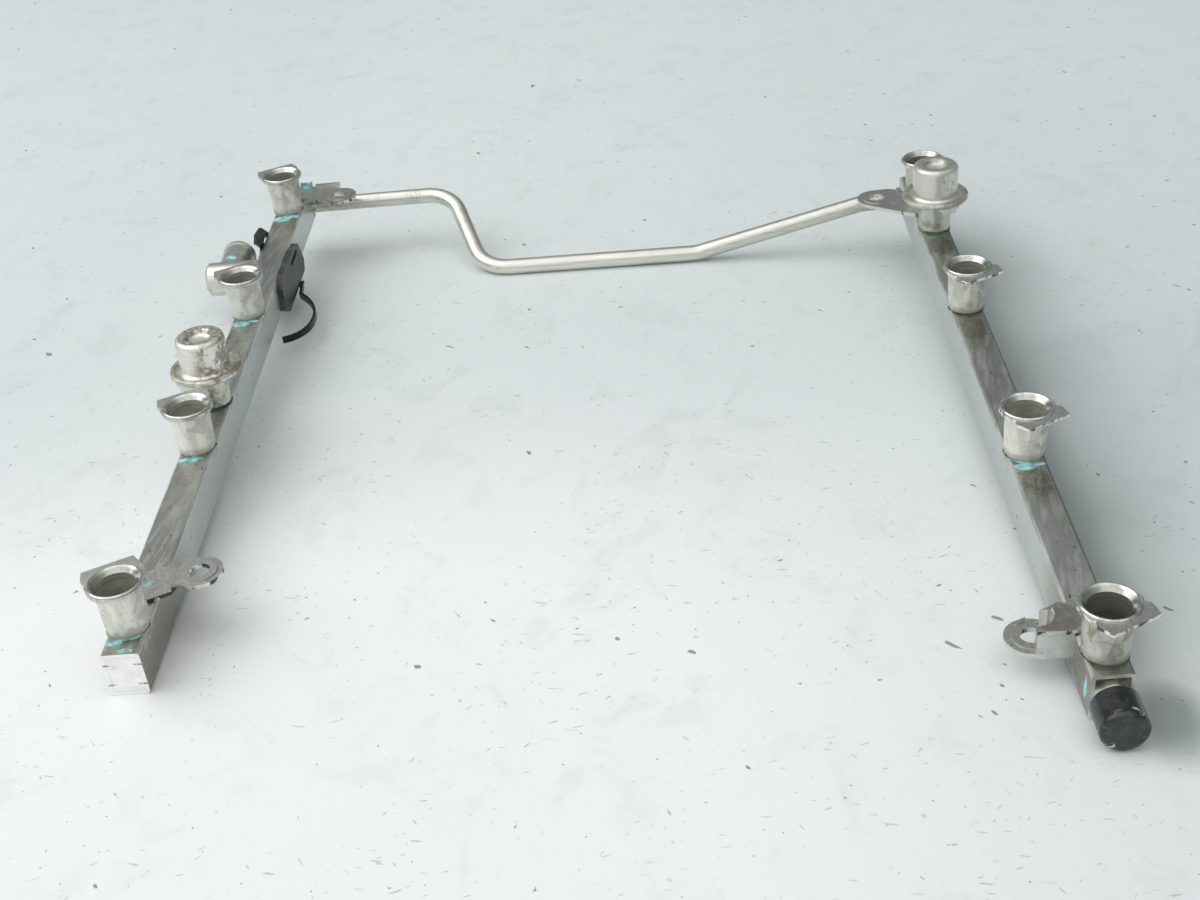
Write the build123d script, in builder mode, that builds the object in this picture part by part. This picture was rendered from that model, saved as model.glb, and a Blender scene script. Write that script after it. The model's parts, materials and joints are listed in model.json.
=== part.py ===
from build123d import *

import os
from math import asin, cos, radians, sin

# Twin-bank fuel rail for a V8 engine, in millimetres, +Z along the injector axes.
# +Y runs along the rails from front to back, +X from the left rail to the right one.
# Origin: the middle of the bounding box's underside, which is the underside of the
# crossover tube's low middle run.

# Layout
cup_pitch = 111.8
cups_per_rail = 4
rail_gap = 315.4
bank_stagger = 46.6

# Rail tube section
rail_width = 13.5
rail_height = 17.5
rail_wall = 1.4
rail_corner = 1.4

# Rail ends, measured from the nearest cup axis
left_front_overhang = 14.5
left_rear_overhang = 29.3
right_front_overhang = 10.6
right_rear_overhang = 24.9
plug_thickness = 2.0
plug_clearance = 0.05
stake_length = 2.8
stake_width = 0.8
stake_depth = 0.6
stake_spacing = 8.4

# Injector cup
seat_bore = 13.6
cup_wall = 1.35
cup_height = 20.0
cup_foot_taper = 0.75
cup_floor = 1.4
cup_step = 1.6
mouth_flare = 1.4
mouth_depth = 1.9
lip_height = 0.8
lip_width = 1.4
cup_flats = 8
cup_flat_press = 0.6
flange_thickness = 1.2
flange_overhang = 1.75
lug_overhang = 2.1
lug_inset = 0.9
notch_radius = 1.3
left_lug_turn = 27.0
right_lug_turn = 207.0
spigot_diameter = 8.0
spigot_bore = 5.0
spigot_length = 2.3
braze_clearance = 0.05

# Damper, its seat and its retaining clip
damper_from_cup = 34.5
seat_diameter = 15.4
seat_taper = 0.7
seat_height = 14.2
seat_wall = 1.6
seat_flat_reach = 7.25
damper_flange_diameter = 29.5
damper_flange_thickness = 2.8
damper_can_diameter = 20.2
damper_can_height = 13.6
damper_dish_diameter = 10.0
damper_dish_depth = 2.2
damper_nose_length = 7.0
damper_nose_clearance = 0.15
oring_section = 1.8
oring_groove = 1.3
oring_level = 3.7
fork_thickness = 1.2
fork_tab = 1.8
left_fork_turn = 150.0
right_fork_turn = 200.0

# Brackets, cut and folded from one gauge of sheet
sheet = 1.5
bolt_hole = 7.5
ear_radius = 8.8
boss_radius = 6.4
boss_height = 0.4
left_front_hole_x = 20.2
left_front_hole_y = 23.5
left_front_lift = 2.6
right_front_hole_x = -17.6
right_front_hole_y = 19.1
pocket_depth = 9.5
pocket_radius = 6.6
left_rear_hole_x = 24.9
left_rear_hole_y = 10.6
right_rear_hole_x = 21.9
right_rear_hole_y = -0.2
clear_of_cup = 0.7

# Crossover tube
tube_diameter = 7.8
tube_wall = 0.9
tube_bend = 18.0
left_exit_from_cup = 23.9
right_exit_from_cup = 17.0
low_run_drop = 12.0
first_bend_from_left = 81.3
second_bend_from_left = 98.7
second_bend_forward = 49.3
third_bend_from_right = 108.9
third_bend_back = 2.3
last_bend_from_right = 26.2

# Side port on the left rail
port_from_cup = 56.1
port_diameter = 16.2
port_length = 25.0
port_wall = 1.6
branch_offset = 14.6
branch_diameter = 15.4
branch_length = 23.0
plug_rim = 1.8
dome_height = 4.2

# Service nipple and its push-on cap at the right rail's front
nipple_diameter = 8.0
nipple_bore = 4.0
nipple_inside = 3.5
nipple_reach = 11.6
collar_diameter = 12.4
collar_thickness = 2.2
cap_diameter = 15.4
cap_length = 13.4
cap_wall = 2.2
cap_round = 1.8
cap_clearance = 0.1
cap_gap = 0.6

# Harness clip on the left rail's inner side, and the cut cable tie
clip_from_cup = 55.0
clip_length = 58.0
clip_plate = 2.6
clip_slot_depth = 1.4
strap_past_clip = 1.4
clip_drop = 2.0
clip_clearance = 0.05
strap_width = 4.4
strap_thickness = 1.3
strap_clearance = 0.1
strap_from_cup = 67.0
tail_height = 3.0

# Places in the part's own frame, worked out from the sizes above
half_rail = rail_width / 2
cup_radius = seat_bore / 2 + cup_wall
cup_foot_radius = cup_radius - cup_foot_taper
flange_radius = cup_radius + flange_overhang
bank_length = (cups_per_rail - 1) * cup_pitch + bank_stagger
front_reach = right_front_overhang + collar_thickness + cap_gap + cap_length
length = front_reach + bank_length + left_rear_overhang
left_reach = half_rail + port_length
right_reach = damper_flange_diameter / 2
left_x = -(left_reach + rail_gap + right_reach) / 2 + left_reach
right_x = left_x + rail_gap
rail_base = low_run_drop + tube_diameter / 2
rail_middle = rail_base + rail_height / 2
rail_top = rail_base + rail_height
right_cup_ys = [front_reach - length / 2 + i * cup_pitch for i in range(cups_per_rail)]
left_cup_ys = [y + bank_stagger for y in right_cup_ys]
left_front = left_cup_ys[0] - left_front_overhang
left_rear = left_cup_ys[-1] + left_rear_overhang
right_front = right_cup_ys[0] - right_front_overhang
right_rear = right_cup_ys[-1] + right_rear_overhang
left_damper_y = left_cup_ys[1] + damper_from_cup
right_damper_y = right_cup_ys[-1] - damper_from_cup
left_exit_y = left_cup_ys[-1] + left_exit_from_cup
right_exit_y = right_cup_ys[-1] + right_exit_from_cup
port_y = left_cup_ys[2] + port_from_cup
seat_inner = seat_diameter / 2 - seat_wall
nose_radius = seat_inner - damper_nose_clearance
fork_level = rail_top + seat_height
damper_level = fork_level + fork_thickness
clip_y = left_cup_ys[2] + clip_from_cup
strap_y = left_cup_ys[2] + strap_from_cup

os.makedirs("parts", exist_ok=True)


def save(name, part):
    """Label one finished piece and write its STEP file."""
    part.label = name
    export_step(part, f"parts/{name}.step")


def rail_section(plane, grow=0.0):
    """Rounded rectangle of a rail's outside, or of its cavity with a negative grow."""
    with BuildSketch(plane) as section:
        RectangleRounded(
            rail_width + 2 * grow,
            rail_height + 2 * grow,
            max(rail_corner + grow, 0.4),
        )
    return section.sketch


def stake_marks(x, end_y, inward):
    """Four small dents that lock a plug, each across the tube's side wall into the plug."""
    face = Plane(origin=(x, end_y, rail_middle), x_dir=(1, 0, 0), z_dir=(0, inward, 0))
    with BuildPart() as marks:
        with BuildSketch(face):
            with GridLocations(rail_width - stake_length, stake_spacing, 2, 2):
                Rectangle(stake_length, stake_width)
        extrude(amount=stake_depth)
    return marks.part


def rail_tube(x, front, rear, cup_ys, damper_y, exit_y, exit_side, side_port=None):
    """One rectangular rail tube with a hole for each piece that is brazed into it."""
    across = Plane(origin=(x, front, rail_middle), x_dir=(1, 0, 0), z_dir=(0, 1, 0))
    inner_face = Plane(
        origin=(x + exit_side * half_rail, exit_y, rail_middle),
        x_dir=(0, 1, 0),
        z_dir=(exit_side, 0, 0),
    )
    with BuildPart() as tube:
        extrude(rail_section(across), amount=rear - front)
        extrude(rail_section(across, -rail_wall), amount=rear - front, mode=Mode.SUBTRACT)
        with BuildSketch(Plane.XY.offset(rail_top)):
            with Locations([(x, y) for y in [*cup_ys, damper_y]]):
                Circle(spigot_diameter / 2 + braze_clearance)
        extrude(amount=-2 * rail_wall, mode=Mode.SUBTRACT)
        with BuildSketch(inner_face):
            Circle(tube_diameter / 2 + braze_clearance)
        extrude(amount=-2 * rail_wall, mode=Mode.SUBTRACT)
        if side_port is not None:
            outer_face = Plane(
                origin=(x - half_rail, side_port, rail_middle), x_dir=(0, 1, 0), z_dir=(-1, 0, 0)
            )
            with BuildSketch(outer_face):
                Circle(spigot_diameter / 2 + braze_clearance)
            extrude(amount=-2 * rail_wall, mode=Mode.SUBTRACT)
            add(stake_marks(x, front, 1), mode=Mode.SUBTRACT)
    return tube.part


def end_plug(x, end_y, inward, hole=0.0, staked=False):
    """Plate pressed into a rail's end, flush with it; staking leaves four small dents."""
    face = Plane(origin=(x, end_y, rail_middle), x_dir=(1, 0, 0), z_dir=(0, inward, 0))
    with BuildPart() as plug:
        extrude(rail_section(face, -rail_wall - plug_clearance), amount=plug_thickness)
        if hole:
            with BuildSketch(face):
                Circle(hole / 2 + braze_clearance)
            extrude(amount=plug_thickness, mode=Mode.SUBTRACT)
        if staked:
            add(stake_marks(x, end_y, inward), mode=Mode.SUBTRACT)
    return plug.part


def injector_cup(x, y, lug_turn):
    """Deep-drawn cup: wall pressed into flats, lugged flange, rolled lip and a spigot for the rail."""
    base = Plane(
        origin=(x, y, rail_top),
        x_dir=(cos(radians(lug_turn)), sin(radians(lug_turn)), 0),
        z_dir=(0, 0, 1),
    )
    section = Plane(origin=base.origin, x_dir=base.x_dir, z_dir=-base.y_dir)
    bore = seat_bore / 2
    mouth = bore + mouth_flare
    shelf = cup_height - lip_height
    under_flange = shelf - flange_thickness
    with BuildPart() as cup:
        with BuildSketch(section):
            with BuildLine():
                Polyline(
                    (spigot_bore / 2, -spigot_length),
                    (spigot_diameter / 2, -spigot_length),
                    (spigot_diameter / 2, 0),
                    (cup_foot_radius - 1.3, 0),
                    (cup_foot_radius - 0.4, 0.4),
                    (cup_foot_radius, 1.3),
                    (cup_radius, under_flange - 1.0),
                    (cup_radius + 0.8, under_flange),
                    (flange_radius - 0.2, under_flange),
                    (flange_radius - 0.2, shelf),
                    (mouth + lip_width, shelf),
                    (mouth + 0.88 * lip_width, shelf + 0.62 * lip_height),
                    (mouth + 0.62 * lip_width, cup_height),
                    (mouth + 0.34 * lip_width, cup_height),
                    (mouth + 0.1 * lip_width, shelf + 0.62 * lip_height),
                    (mouth - 0.3, shelf + 0.1),
                    (bore, cup_height - mouth_depth),
                    (bore, cup_floor + cup_step),
                    (bore - cup_step, cup_floor),
                    (spigot_bore / 2, cup_floor),
                    (spigot_bore / 2, -spigot_length),
                )
            make_face()
        revolve(axis=Axis(base.origin, base.z_dir))
        with BuildSketch(base.offset(1.6)):
            Circle(cup_radius + 1.0)
            RegularPolygon(
                cup_radius - cup_flat_press,
                cup_flats,
                major_radius=False,
                rotation=180 / cup_flats,
                mode=Mode.SUBTRACT,
            )
        extrude(amount=under_flange - 2.6, mode=Mode.SUBTRACT)
        with BuildSketch(base.offset(under_flange)):
            Circle(flange_radius)
            Polygon(
                (-flange_radius, 0.5),
                (-flange_radius - 0.3, 7.0),
                (lug_inset - flange_radius, flange_radius + lug_overhang),
                (flange_radius - lug_inset, flange_radius + lug_overhang),
                (flange_radius + 0.3, 7.0),
                (flange_radius, 0.5),
                align=None,
            )
            with Locations((-flange_radius - 0.5, 4.6), (flange_radius + 0.5, 4.6)):
                Circle(notch_radius, mode=Mode.SUBTRACT)
            Circle(mouth - 0.2, mode=Mode.SUBTRACT)
        extrude(amount=flange_thickness)
    return cup.part


def damper_seat(x, y):
    """Drawn socket brazed on the rail that takes the damper's nose, pressed into flats like a cup."""
    base = Plane(origin=(x, y, rail_top), x_dir=(1, 0, 0), z_dir=(0, -1, 0))
    outer = seat_diameter / 2
    with BuildPart() as seat:
        with BuildSketch(base):
            with BuildLine():
                Polyline(
                    (spigot_bore / 2, -spigot_length),
                    (spigot_diameter / 2, -spigot_length),
                    (spigot_diameter / 2, 0),
                    (outer - seat_taper - 1.3, 0),
                    (outer - seat_taper - 0.4, 0.4),
                    (outer - seat_taper, 1.3),
                    (outer, seat_height),
                    (seat_inner, seat_height),
                    (seat_inner, 2.0),
                    (spigot_bore / 2, 2.0),
                    (spigot_bore / 2, -spigot_length),
                )
            make_face()
        revolve(axis=Axis((x, y, 0), (0, 0, 1)))
        with BuildSketch(Plane(origin=(x, y, rail_top + 1.6))):
            Circle(outer + 1.0)
            RegularPolygon(
                seat_flat_reach, cup_flats, major_radius=False, rotation=180 / cup_flats, mode=Mode.SUBTRACT
            )
        extrude(amount=seat_height - 3.0, mode=Mode.SUBTRACT)
    return seat.part


def damper(x, y):
    """Sealed pressure damper: nose, crimped flange and a can with a dished top."""
    plane = Plane(origin=(x, y, damper_level), x_dir=(1, 0, 0), z_dir=(0, -1, 0))
    groove = nose_radius - oring_groove
    groove_top = -oring_level + oring_section / 2 + 0.1
    groove_base = -oring_level - oring_section / 2 - 0.1
    flange = damper_flange_diameter / 2
    can = damper_can_diameter / 2
    dish = damper_dish_diameter / 2
    top = damper_flange_thickness + damper_can_height
    with BuildPart() as body:
        with BuildSketch(plane):
            with BuildLine():
                nose = Polyline(
                    (0, -damper_nose_length),
                    (nose_radius - 0.8, -damper_nose_length),
                    (nose_radius, -damper_nose_length + 0.8),
                    (nose_radius, groove_base),
                    (groove, groove_base),
                    (groove, groove_top),
                    (nose_radius, groove_top),
                    (nose_radius, 0),
                    (flange - 0.7, 0),
                    (flange, 0.7),
                    (flange, damper_flange_thickness - 1.1),
                    (flange - 0.25, damper_flange_thickness - 0.6),
                    (flange - 0.8, damper_flange_thickness - 0.4),
                    (flange - 1.7, damper_flange_thickness - 0.4),
                    (flange - 2.2, damper_flange_thickness - 1.0),
                    (can + 0.8, damper_flange_thickness - 1.0),
                    (can, damper_flange_thickness - 0.2),
                )
                side = Line(nose @ 1, (can, top - 2.2))
                shoulder = JernArc(side @ 1, (0, 1), 2.2, 90)
                land = Line(shoulder @ 1, (dish + 0.9, top))
                Polyline(
                    land @ 1,
                    (dish + 0.1, top - 0.35),
                    (dish - 0.7, top - damper_dish_depth + 0.5),
                    (dish - 1.6, top - damper_dish_depth),
                    (0, top - damper_dish_depth),
                    (0, -damper_nose_length),
                )
            make_face()
        revolve(axis=Axis((x, y, 0), (0, 0, 1)))
    return body.part


def damper_oring(x, y):
    """Seal ring squeezed into the groove of the damper's nose, just clear of the seat wall."""
    middle = (seat_inner + nose_radius - oring_groove) / 2
    squeeze = (seat_inner - nose_radius + oring_groove) / 2 - 0.03
    level = damper_level - oring_level
    with BuildPart() as ring:
        with BuildSketch(Plane(origin=(x, y, level), x_dir=(1, 0, 0), z_dir=(0, -1, 0))) as seal:
            with Locations((middle, 0)):
                Rectangle(2 * squeeze, oring_section)
            chamfer(seal.vertices(), oring_section / 4)
        revolve(axis=Axis((x, y, 0), (0, 0, 1)))
    return ring.part


def damper_fork(x, y, turn):
    """Retaining fork between seat and damper flange, with three turned-down tabs."""
    plane = Plane(
        origin=(x, y, fork_level), x_dir=(cos(radians(turn)), sin(radians(turn)), 0), z_dir=(0, 0, 1)
    )
    slot = nose_radius + 0.2
    reach = damper_flange_diameter / 2 - 1.2
    tab_x = seat_diameter / 2 + 1.2
    with BuildPart() as fork:
        with BuildSketch(plane):
            Circle(seat_diameter / 2 + 2.4)
            with Locations((0, reach / 2)):
                Rectangle(9.0, reach)
            Circle(slot, mode=Mode.SUBTRACT)
            with Locations((0, -reach / 2)):
                Rectangle(2 * slot - 0.6, reach, mode=Mode.SUBTRACT)
        extrude(amount=fork_thickness)
        with BuildSketch(plane):
            with Locations((-tab_x, 0), (tab_x, 0)):
                Rectangle(fork_thickness, 3.0)
            with Locations((0, reach - fork_thickness / 2)):
                Rectangle(6.0, fork_thickness)
        extrude(amount=-fork_tab)
    return fork.part


def ear_disc(plane, centre, radius, hole, thickness):
    """Round ear of a bracket with a raised ring round its bolt hole."""
    with BuildPart() as ear:
        with BuildSketch(plane):
            with Locations(centre):
                Circle(radius)
        extrude(amount=thickness)
        with BuildSketch(plane.offset(thickness)):
            with Locations(centre):
                Circle(boss_radius)
        extrude(amount=boss_height)
        with BuildSketch(plane):
            with Locations(centre):
                Circle(hole / 2)
        extrude(amount=thickness + boss_height, mode=Mode.SUBTRACT)
    return ear.part


def bracket_left_front():
    """Ear of the left rail's front: plate on the rail, a short ramp and a raised ear."""
    hole_y = left_cup_ys[0] + left_front_hole_y
    hole_x = left_front_hole_x
    lift = left_front_lift
    plane = Plane(origin=(left_x, hole_y, rail_top))
    side = Plane(origin=(left_x, hole_y + 12, rail_top), x_dir=(1, 0, 0), z_dir=(0, -1, 0))
    with BuildPart() as bracket:
        with BuildSketch(side):
            Polygon(
                (-3.0, 0),
                (11.0, 0),
                (14.0, lift),
                (hole_x, lift),
                (hole_x, lift + sheet),
                (13.2, lift + sheet),
                (10.2, sheet),
                (-3.0, sheet),
                align=None,
            )
        extrude(amount=26)
        with BuildSketch(plane):
            Polygon(
                (-3.0, -5.5),
                (3.6, -11.1),
                (12.6, -6.4),
                (17.0, -8.2),
                (hole_x, -8.4),
                (hole_x, 8.4),
                (14.5, 7.6),
                (9.0, 8.6),
                (-3.0, 4.5),
                align=None,
            )
        extrude(amount=lift + sheet, mode=Mode.INTERSECT)
        add(ear_disc(plane.offset(lift), (hole_x, 0), ear_radius - 0.4, bolt_hole, sheet))
        with BuildSketch(plane.offset(lift)):
            with Locations((hole_x, 0)):
                Circle(bolt_hole / 2)
        extrude(amount=sheet + boss_height, mode=Mode.SUBTRACT)
    return bracket.part


def bracket_right_front():
    """Ear of the right rail's front: a stamped pocket whose ear lies below the rail's top."""
    plane = Plane(origin=(right_x, right_cup_ys[0] + right_front_hole_y, rail_top))
    low = plane.offset(-pocket_depth)
    lean = radians(12.6)
    gusset_outer = 22.0
    gusset_length = (gusset_outer - half_rail - 0.22) / cos(lean)
    back = Plane(
        origin=plane.origin + Vector(-gusset_outer, 7.4, 0),
        x_dir=(cos(lean), -sin(lean), 0),
        z_dir=(-sin(lean), -cos(lean), 0),
    )
    with BuildPart() as bracket:
        with BuildSketch(plane):
            Polygon(
                (-4.6, -9.9),
                (-18.2, -9.4),
                (-18.2, -6.3),
                (-9.5, 4.6),
                (-4.6, 3.4),
                align=None,
            )
        extrude(amount=sheet)
        with BuildSketch(low):
            Polygon(
                (-half_rail, -9.9),
                (-18.2, -9.4),
                (-18.2, -9.4 + sheet),
                (-half_rail, -9.9 + sheet),
                align=None,
            )
        extrude(amount=pocket_depth + 0.5)
        with BuildSketch(low):
            with Locations((right_front_hole_x, 0)):
                Circle(pocket_radius + sheet)
            Polygon(
                (-half_rail, -9.9),
                (-18.2, -9.4),
                (-18.2, -6.3),
                (-9.5, 4.6),
                (-half_rail, 3.9),
                align=None,
                mode=Mode.INTERSECT,
            )
        extrude(amount=pocket_depth + 0.5)
        with BuildSketch(back):
            Polygon(
                (0, -pocket_depth),
                (gusset_length, -pocket_depth),
                (gusset_length, sheet),
                (gusset_length - 1.8, sheet),
                (0, -pocket_depth + sheet),
                align=None,
            )
        extrude(amount=sheet)
        add(ear_disc(low, (right_front_hole_x, 0), ear_radius, bolt_hole, sheet))
        with BuildSketch(low.offset(sheet + boss_height)):
            with Locations((right_front_hole_x, 0)):
                Circle(pocket_radius)
        extrude(amount=pocket_depth, mode=Mode.SUBTRACT)
        with BuildSketch(low):
            with Locations((right_front_hole_x, 0)):
                Circle(bolt_hole / 2)
        extrude(amount=pocket_depth, mode=Mode.SUBTRACT)
    return bracket.part


def rear_bracket(rail_x, cup_y, hole_y, side, hole_x, outline, lips):
    """Flat ear on a rail's rear end with lips folded up along its back edge."""
    plane = Plane(origin=(rail_x, cup_y + hole_y, rail_top), x_dir=(side, 0, 0), z_dir=(0, 0, side))
    turned = side
    with BuildPart() as bracket:
        with BuildSketch(plane):
            Polygon(*outline, align=None)
            with Locations((0, -hole_y)):
                Circle(cup_foot_radius + clear_of_cup, mode=Mode.SUBTRACT)
            with Locations((hole_x, 0)):
                Circle(ear_radius)
                Circle(bolt_hole / 2, mode=Mode.SUBTRACT)
        extrude(amount=turned * sheet)
        with BuildSketch(plane.offset(turned * sheet)):
            with Locations((hole_x, 0)):
                Circle(boss_radius)
                Circle(bolt_hole / 2, mode=Mode.SUBTRACT)
        extrude(amount=turned * boss_height)
        for lip, height in lips:
            with BuildSketch(plane):
                Polygon(*lip, align=None)
                with Locations((0, -hole_y)):
                    Circle(cup_foot_radius + clear_of_cup, mode=Mode.SUBTRACT)
            extrude(amount=turned * (sheet + height))
    return bracket.part


def crossover_path():
    """Centre line of the crossover: level at both rails, low in the middle."""
    start_x = left_x + half_rail - rail_wall
    end_x = right_x - half_rail + rail_wall
    low = rail_middle - rail_height / 2 - low_run_drop
    with BuildLine() as path:
        FilletPolyline(
            (start_x, left_exit_y, rail_middle),
            (left_x + first_bend_from_left, left_exit_y, rail_middle),
            (left_x + second_bend_from_left, left_exit_y - second_bend_forward, low),
            (right_x - third_bend_from_right, right_exit_y + third_bend_back, low),
            (right_x - last_bend_from_right, right_exit_y, rail_middle),
            (end_x, right_exit_y, rail_middle),
            radius=[tube_bend, tube_bend, tube_bend, tube_bend],
        )
    return path.line


def crossover_tube():
    """Bent tube that joins the two rails, its ends let into them."""
    path = crossover_path()
    end = Plane(origin=path @ 0, x_dir=(0, 1, 0), z_dir=(path % 0))
    with BuildPart() as tube:
        with BuildSketch(end):
            Circle(tube_diameter / 2)
            Circle(tube_diameter / 2 - tube_wall, mode=Mode.SUBTRACT)
        sweep(path=path)
    return tube.part


def side_port_body():
    """Branch body on the left rail's outer side: a stub across and a branch along the rail."""
    face_x = left_x - half_rail
    across = Plane(origin=(face_x, port_y, rail_middle), x_dir=(0, 1, 0), z_dir=(-1, 0, 0))
    along = Plane(
        origin=(face_x - branch_offset, port_y, rail_middle), x_dir=(1, 0, 0), z_dir=(0, 1, 0)
    )
    with BuildPart() as body:
        with BuildSketch(across):
            Circle(port_diameter / 2)
        extrude(amount=port_length)
        chamfer(body.faces().sort_by(Axis.X)[0].edges(), 1.0)
        with BuildSketch(along):
            Circle(branch_diameter / 2)
        extrude(amount=branch_length)
        with BuildSketch(across):
            Circle(spigot_diameter / 2)
        extrude(amount=-spigot_length)
        with BuildSketch(across):
            Circle(spigot_bore / 2)
        extrude(amount=-spigot_length, mode=Mode.SUBTRACT)
        with BuildSketch(across):
            Circle(spigot_bore / 2)
        extrude(amount=branch_offset, mode=Mode.SUBTRACT)
        with BuildSketch(along):
            Circle(branch_diameter / 2 - port_wall)
        extrude(amount=branch_length, mode=Mode.SUBTRACT)
    return body.part


def side_port_plug():
    """Turned plug in the branch's open end, with a rim and a domed face."""
    plane = Plane(
        origin=(left_x - half_rail - branch_offset, port_y + branch_length, rail_middle),
        x_dir=(1, 0, 0),
        z_dir=(0, 0, -1),
    )
    inner = branch_diameter / 2 - port_wall - plug_clearance
    rim = branch_diameter / 2 + 0.5
    dome = rim - 1.6
    ball = (dome**2 + dome_height**2) / (2 * dome_height)
    half_turn = asin(dome / ball) / 2
    dome_point = (ball * sin(half_turn), ball * (1 - cos(half_turn)) - plug_rim - dome_height)
    with BuildPart() as plug:
        with BuildSketch(plane):
            with BuildLine():
                shank = Polyline(
                    (0, 5.0),
                    (inner, 5.0),
                    (inner, 0),
                    (rim, 0),
                    (rim, -plug_rim),
                    (dome, -plug_rim),
                )
                cap = ThreePointArc(shank @ 1, dome_point, (0, -plug_rim - dome_height))
                Line(cap @ 1, shank @ 0)
            make_face()
        revolve(axis=Axis(plane.origin, (0, 1, 0)))
    return plug.part


def service_nipple():
    """Nipple through the right front plug, with a collar outside and a barb under the cap."""
    plane = Plane(origin=(right_x, right_front, rail_middle), x_dir=(1, 0, 0), z_dir=(0, 0, 1))
    bore = nipple_bore / 2
    tube = nipple_diameter / 2
    with BuildPart() as nipple:
        with BuildSketch(plane):
            Polygon(
                (bore, nipple_inside),
                (tube, nipple_inside),
                (tube, 0),
                (collar_diameter / 2, 0),
                (collar_diameter / 2, -collar_thickness + 0.5),
                (collar_diameter / 2 - 0.5, -collar_thickness),
                (tube, -collar_thickness),
                (tube, -nipple_reach + 1.0),
                (tube - 1.0, -nipple_reach),
                (bore, -nipple_reach),
                align=None,
            )
        revolve(axis=Axis(plane.origin, (0, 1, 0)))
    return nipple.part


def service_cap():
    """Soft black cap pushed over the nipple, closed and rounded at its front."""
    mouth = -collar_thickness - cap_gap
    plane = Plane(origin=(right_x, right_front + mouth, rail_middle), x_dir=(1, 0, 0), z_dir=(0, 0, 1))
    outer = cap_diameter / 2
    bore = nipple_diameter / 2 + cap_clearance
    with BuildPart() as cap:
        with BuildSketch(plane):
            with BuildLine():
                side = Polyline(
                    (bore, -cap_length + cap_wall + 1.0),
                    (bore, 0),
                    (outer - 0.8, 0),
                    (outer, -0.8),
                    (outer, -cap_length + cap_round),
                )
                nose = JernArc(side @ 1, (0, -1), cap_round, -90)
                Polyline(
                    nose @ 1,
                    (0, -cap_length),
                    (0, -cap_length + cap_wall + 1.0),
                    (bore, -cap_length + cap_wall + 1.0),
                )
            make_face()
        revolve(axis=Axis(plane.origin, (0, 1, 0)))
    return cap.part


def harness_clip():
    """Black moulded clip on the left rail's inner side, with a short slot near its upper edge."""
    plane = Plane(
        origin=(left_x + half_rail + clip_clearance, clip_y, rail_base),
        x_dir=(0, 1, 0),
        z_dir=(1, 0, 0),
    )
    half = clip_length / 2
    with BuildPart() as clip:
        with BuildSketch(plane):
            Polygon(
                (-half + 3, 3.0),
                (-half + 11, -clip_drop),
                (half - 3, -clip_drop),
                (half, 3.0),
                (half - 6, rail_height - 3.2),
                (half - 20, rail_height),
                (-half + 11, rail_height),
                (-half + 5, rail_height - 4.6),
                align=None,
            )
        extrude(amount=clip_plate)
        with BuildSketch(plane.offset(clip_plate)):
            with Locations((9.5, rail_height - 4.4)):
                SlotOverall(16.0, 2.4)
        extrude(amount=-clip_slot_depth, mode=Mode.SUBTRACT)
    return clip.part


def cable_tie():
    """Cut cable tie: a strap under rail and clip, an open loop outside and a hooked tail."""
    outer = half_rail + strap_clearance
    base = -clip_drop - strap_clearance
    reach = half_rail + clip_clearance + clip_plate + strap_past_clip
    across = Plane(
        origin=(left_x, strap_y + strap_width / 2, rail_base), x_dir=(1, 0, 0), z_dir=(0, -1, 0)
    )
    beside = Plane(
        origin=(left_x - outer, strap_y, rail_base), x_dir=(0, 1, 0), z_dir=(1, 0, 0)
    )
    with BuildPart() as tie:
        with BuildSketch(across):
            Polygon(
                (-outer, rail_height - 3.0),
                (-outer - strap_thickness, rail_height - 3.0),
                (-outer - strap_thickness, base - strap_thickness),
                (reach, base - strap_thickness),
                (reach, base),
                (-outer, base),
                align=None,
            )
        extrude(amount=strap_width)
        with BuildSketch(beside):
            Polygon(
                (-4.6, 23.0),
                (-0.8, 26.0),
                (10.8, 24.4),
                (28.0, 12.2),
                (26.5, 8.0),
                (0.5, 8.0),
                (0.5, 13.0),
                (4.4, 16.4),
                align=None,
            )
            Polygon(
                (9.6, 17.0),
                (14.8, 18.2),
                (22.0, 12.6),
                (11.2, 12.0),
                align=None,
                mode=Mode.SUBTRACT,
            )
        extrude(amount=-strap_thickness)
        with BuildSketch(Plane.XY.offset(rail_base + base - tail_height)):
            with BuildLine():
                run = Line((left_x + 9.9, strap_y + 1.0), (left_x + 11.0, strap_y - 11.0))
                Spline(
                    run @ 1,
                    (left_x + 18.6, strap_y - 22.8),
                    (left_x + 21.4, strap_y - 36.2),
                    (left_x + 18.4, strap_y - 48.8),
                    (left_x + 9.4, strap_y - 55.6),
                )
            trace(line_width=strap_thickness)
        extrude(amount=tail_height)
    return tie.part


save("rail_tube_left", rail_tube(
    left_x, left_front, left_rear, left_cup_ys, left_damper_y, left_exit_y, 1, port_y
))
save("rail_tube_right", rail_tube(
    right_x, right_front, right_rear, right_cup_ys, right_damper_y, right_exit_y, -1
))
save("end_plug_left_front", end_plug(left_x, left_front, 1, staked=True))
save("end_plug_left_rear", end_plug(left_x, left_rear, -1))
save("end_plug_right_front", end_plug(right_x, right_front, 1, hole=nipple_diameter))
save("end_plug_right_rear", end_plug(right_x, right_rear, -1))
for number, (left_y, right_y) in enumerate(zip(left_cup_ys, right_cup_ys), start=1):
    save(f"injector_cup_left_{number}", injector_cup(left_x, left_y, left_lug_turn))
    save(f"injector_cup_right_{number}", injector_cup(right_x, right_y, right_lug_turn))
for side, x, y, turn in (
    ("left", left_x, left_damper_y, left_fork_turn),
    ("right", right_x, right_damper_y, right_fork_turn),
):
    save(f"damper_seat_{side}", damper_seat(x, y))
    save(f"damper_{side}", damper(x, y))
    save(f"damper_oring_{side}", damper_oring(x, y))
    save(f"damper_fork_{side}", damper_fork(x, y, turn))
save("bracket_left_front", bracket_left_front())
save("bracket_right_front", bracket_right_front())
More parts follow.
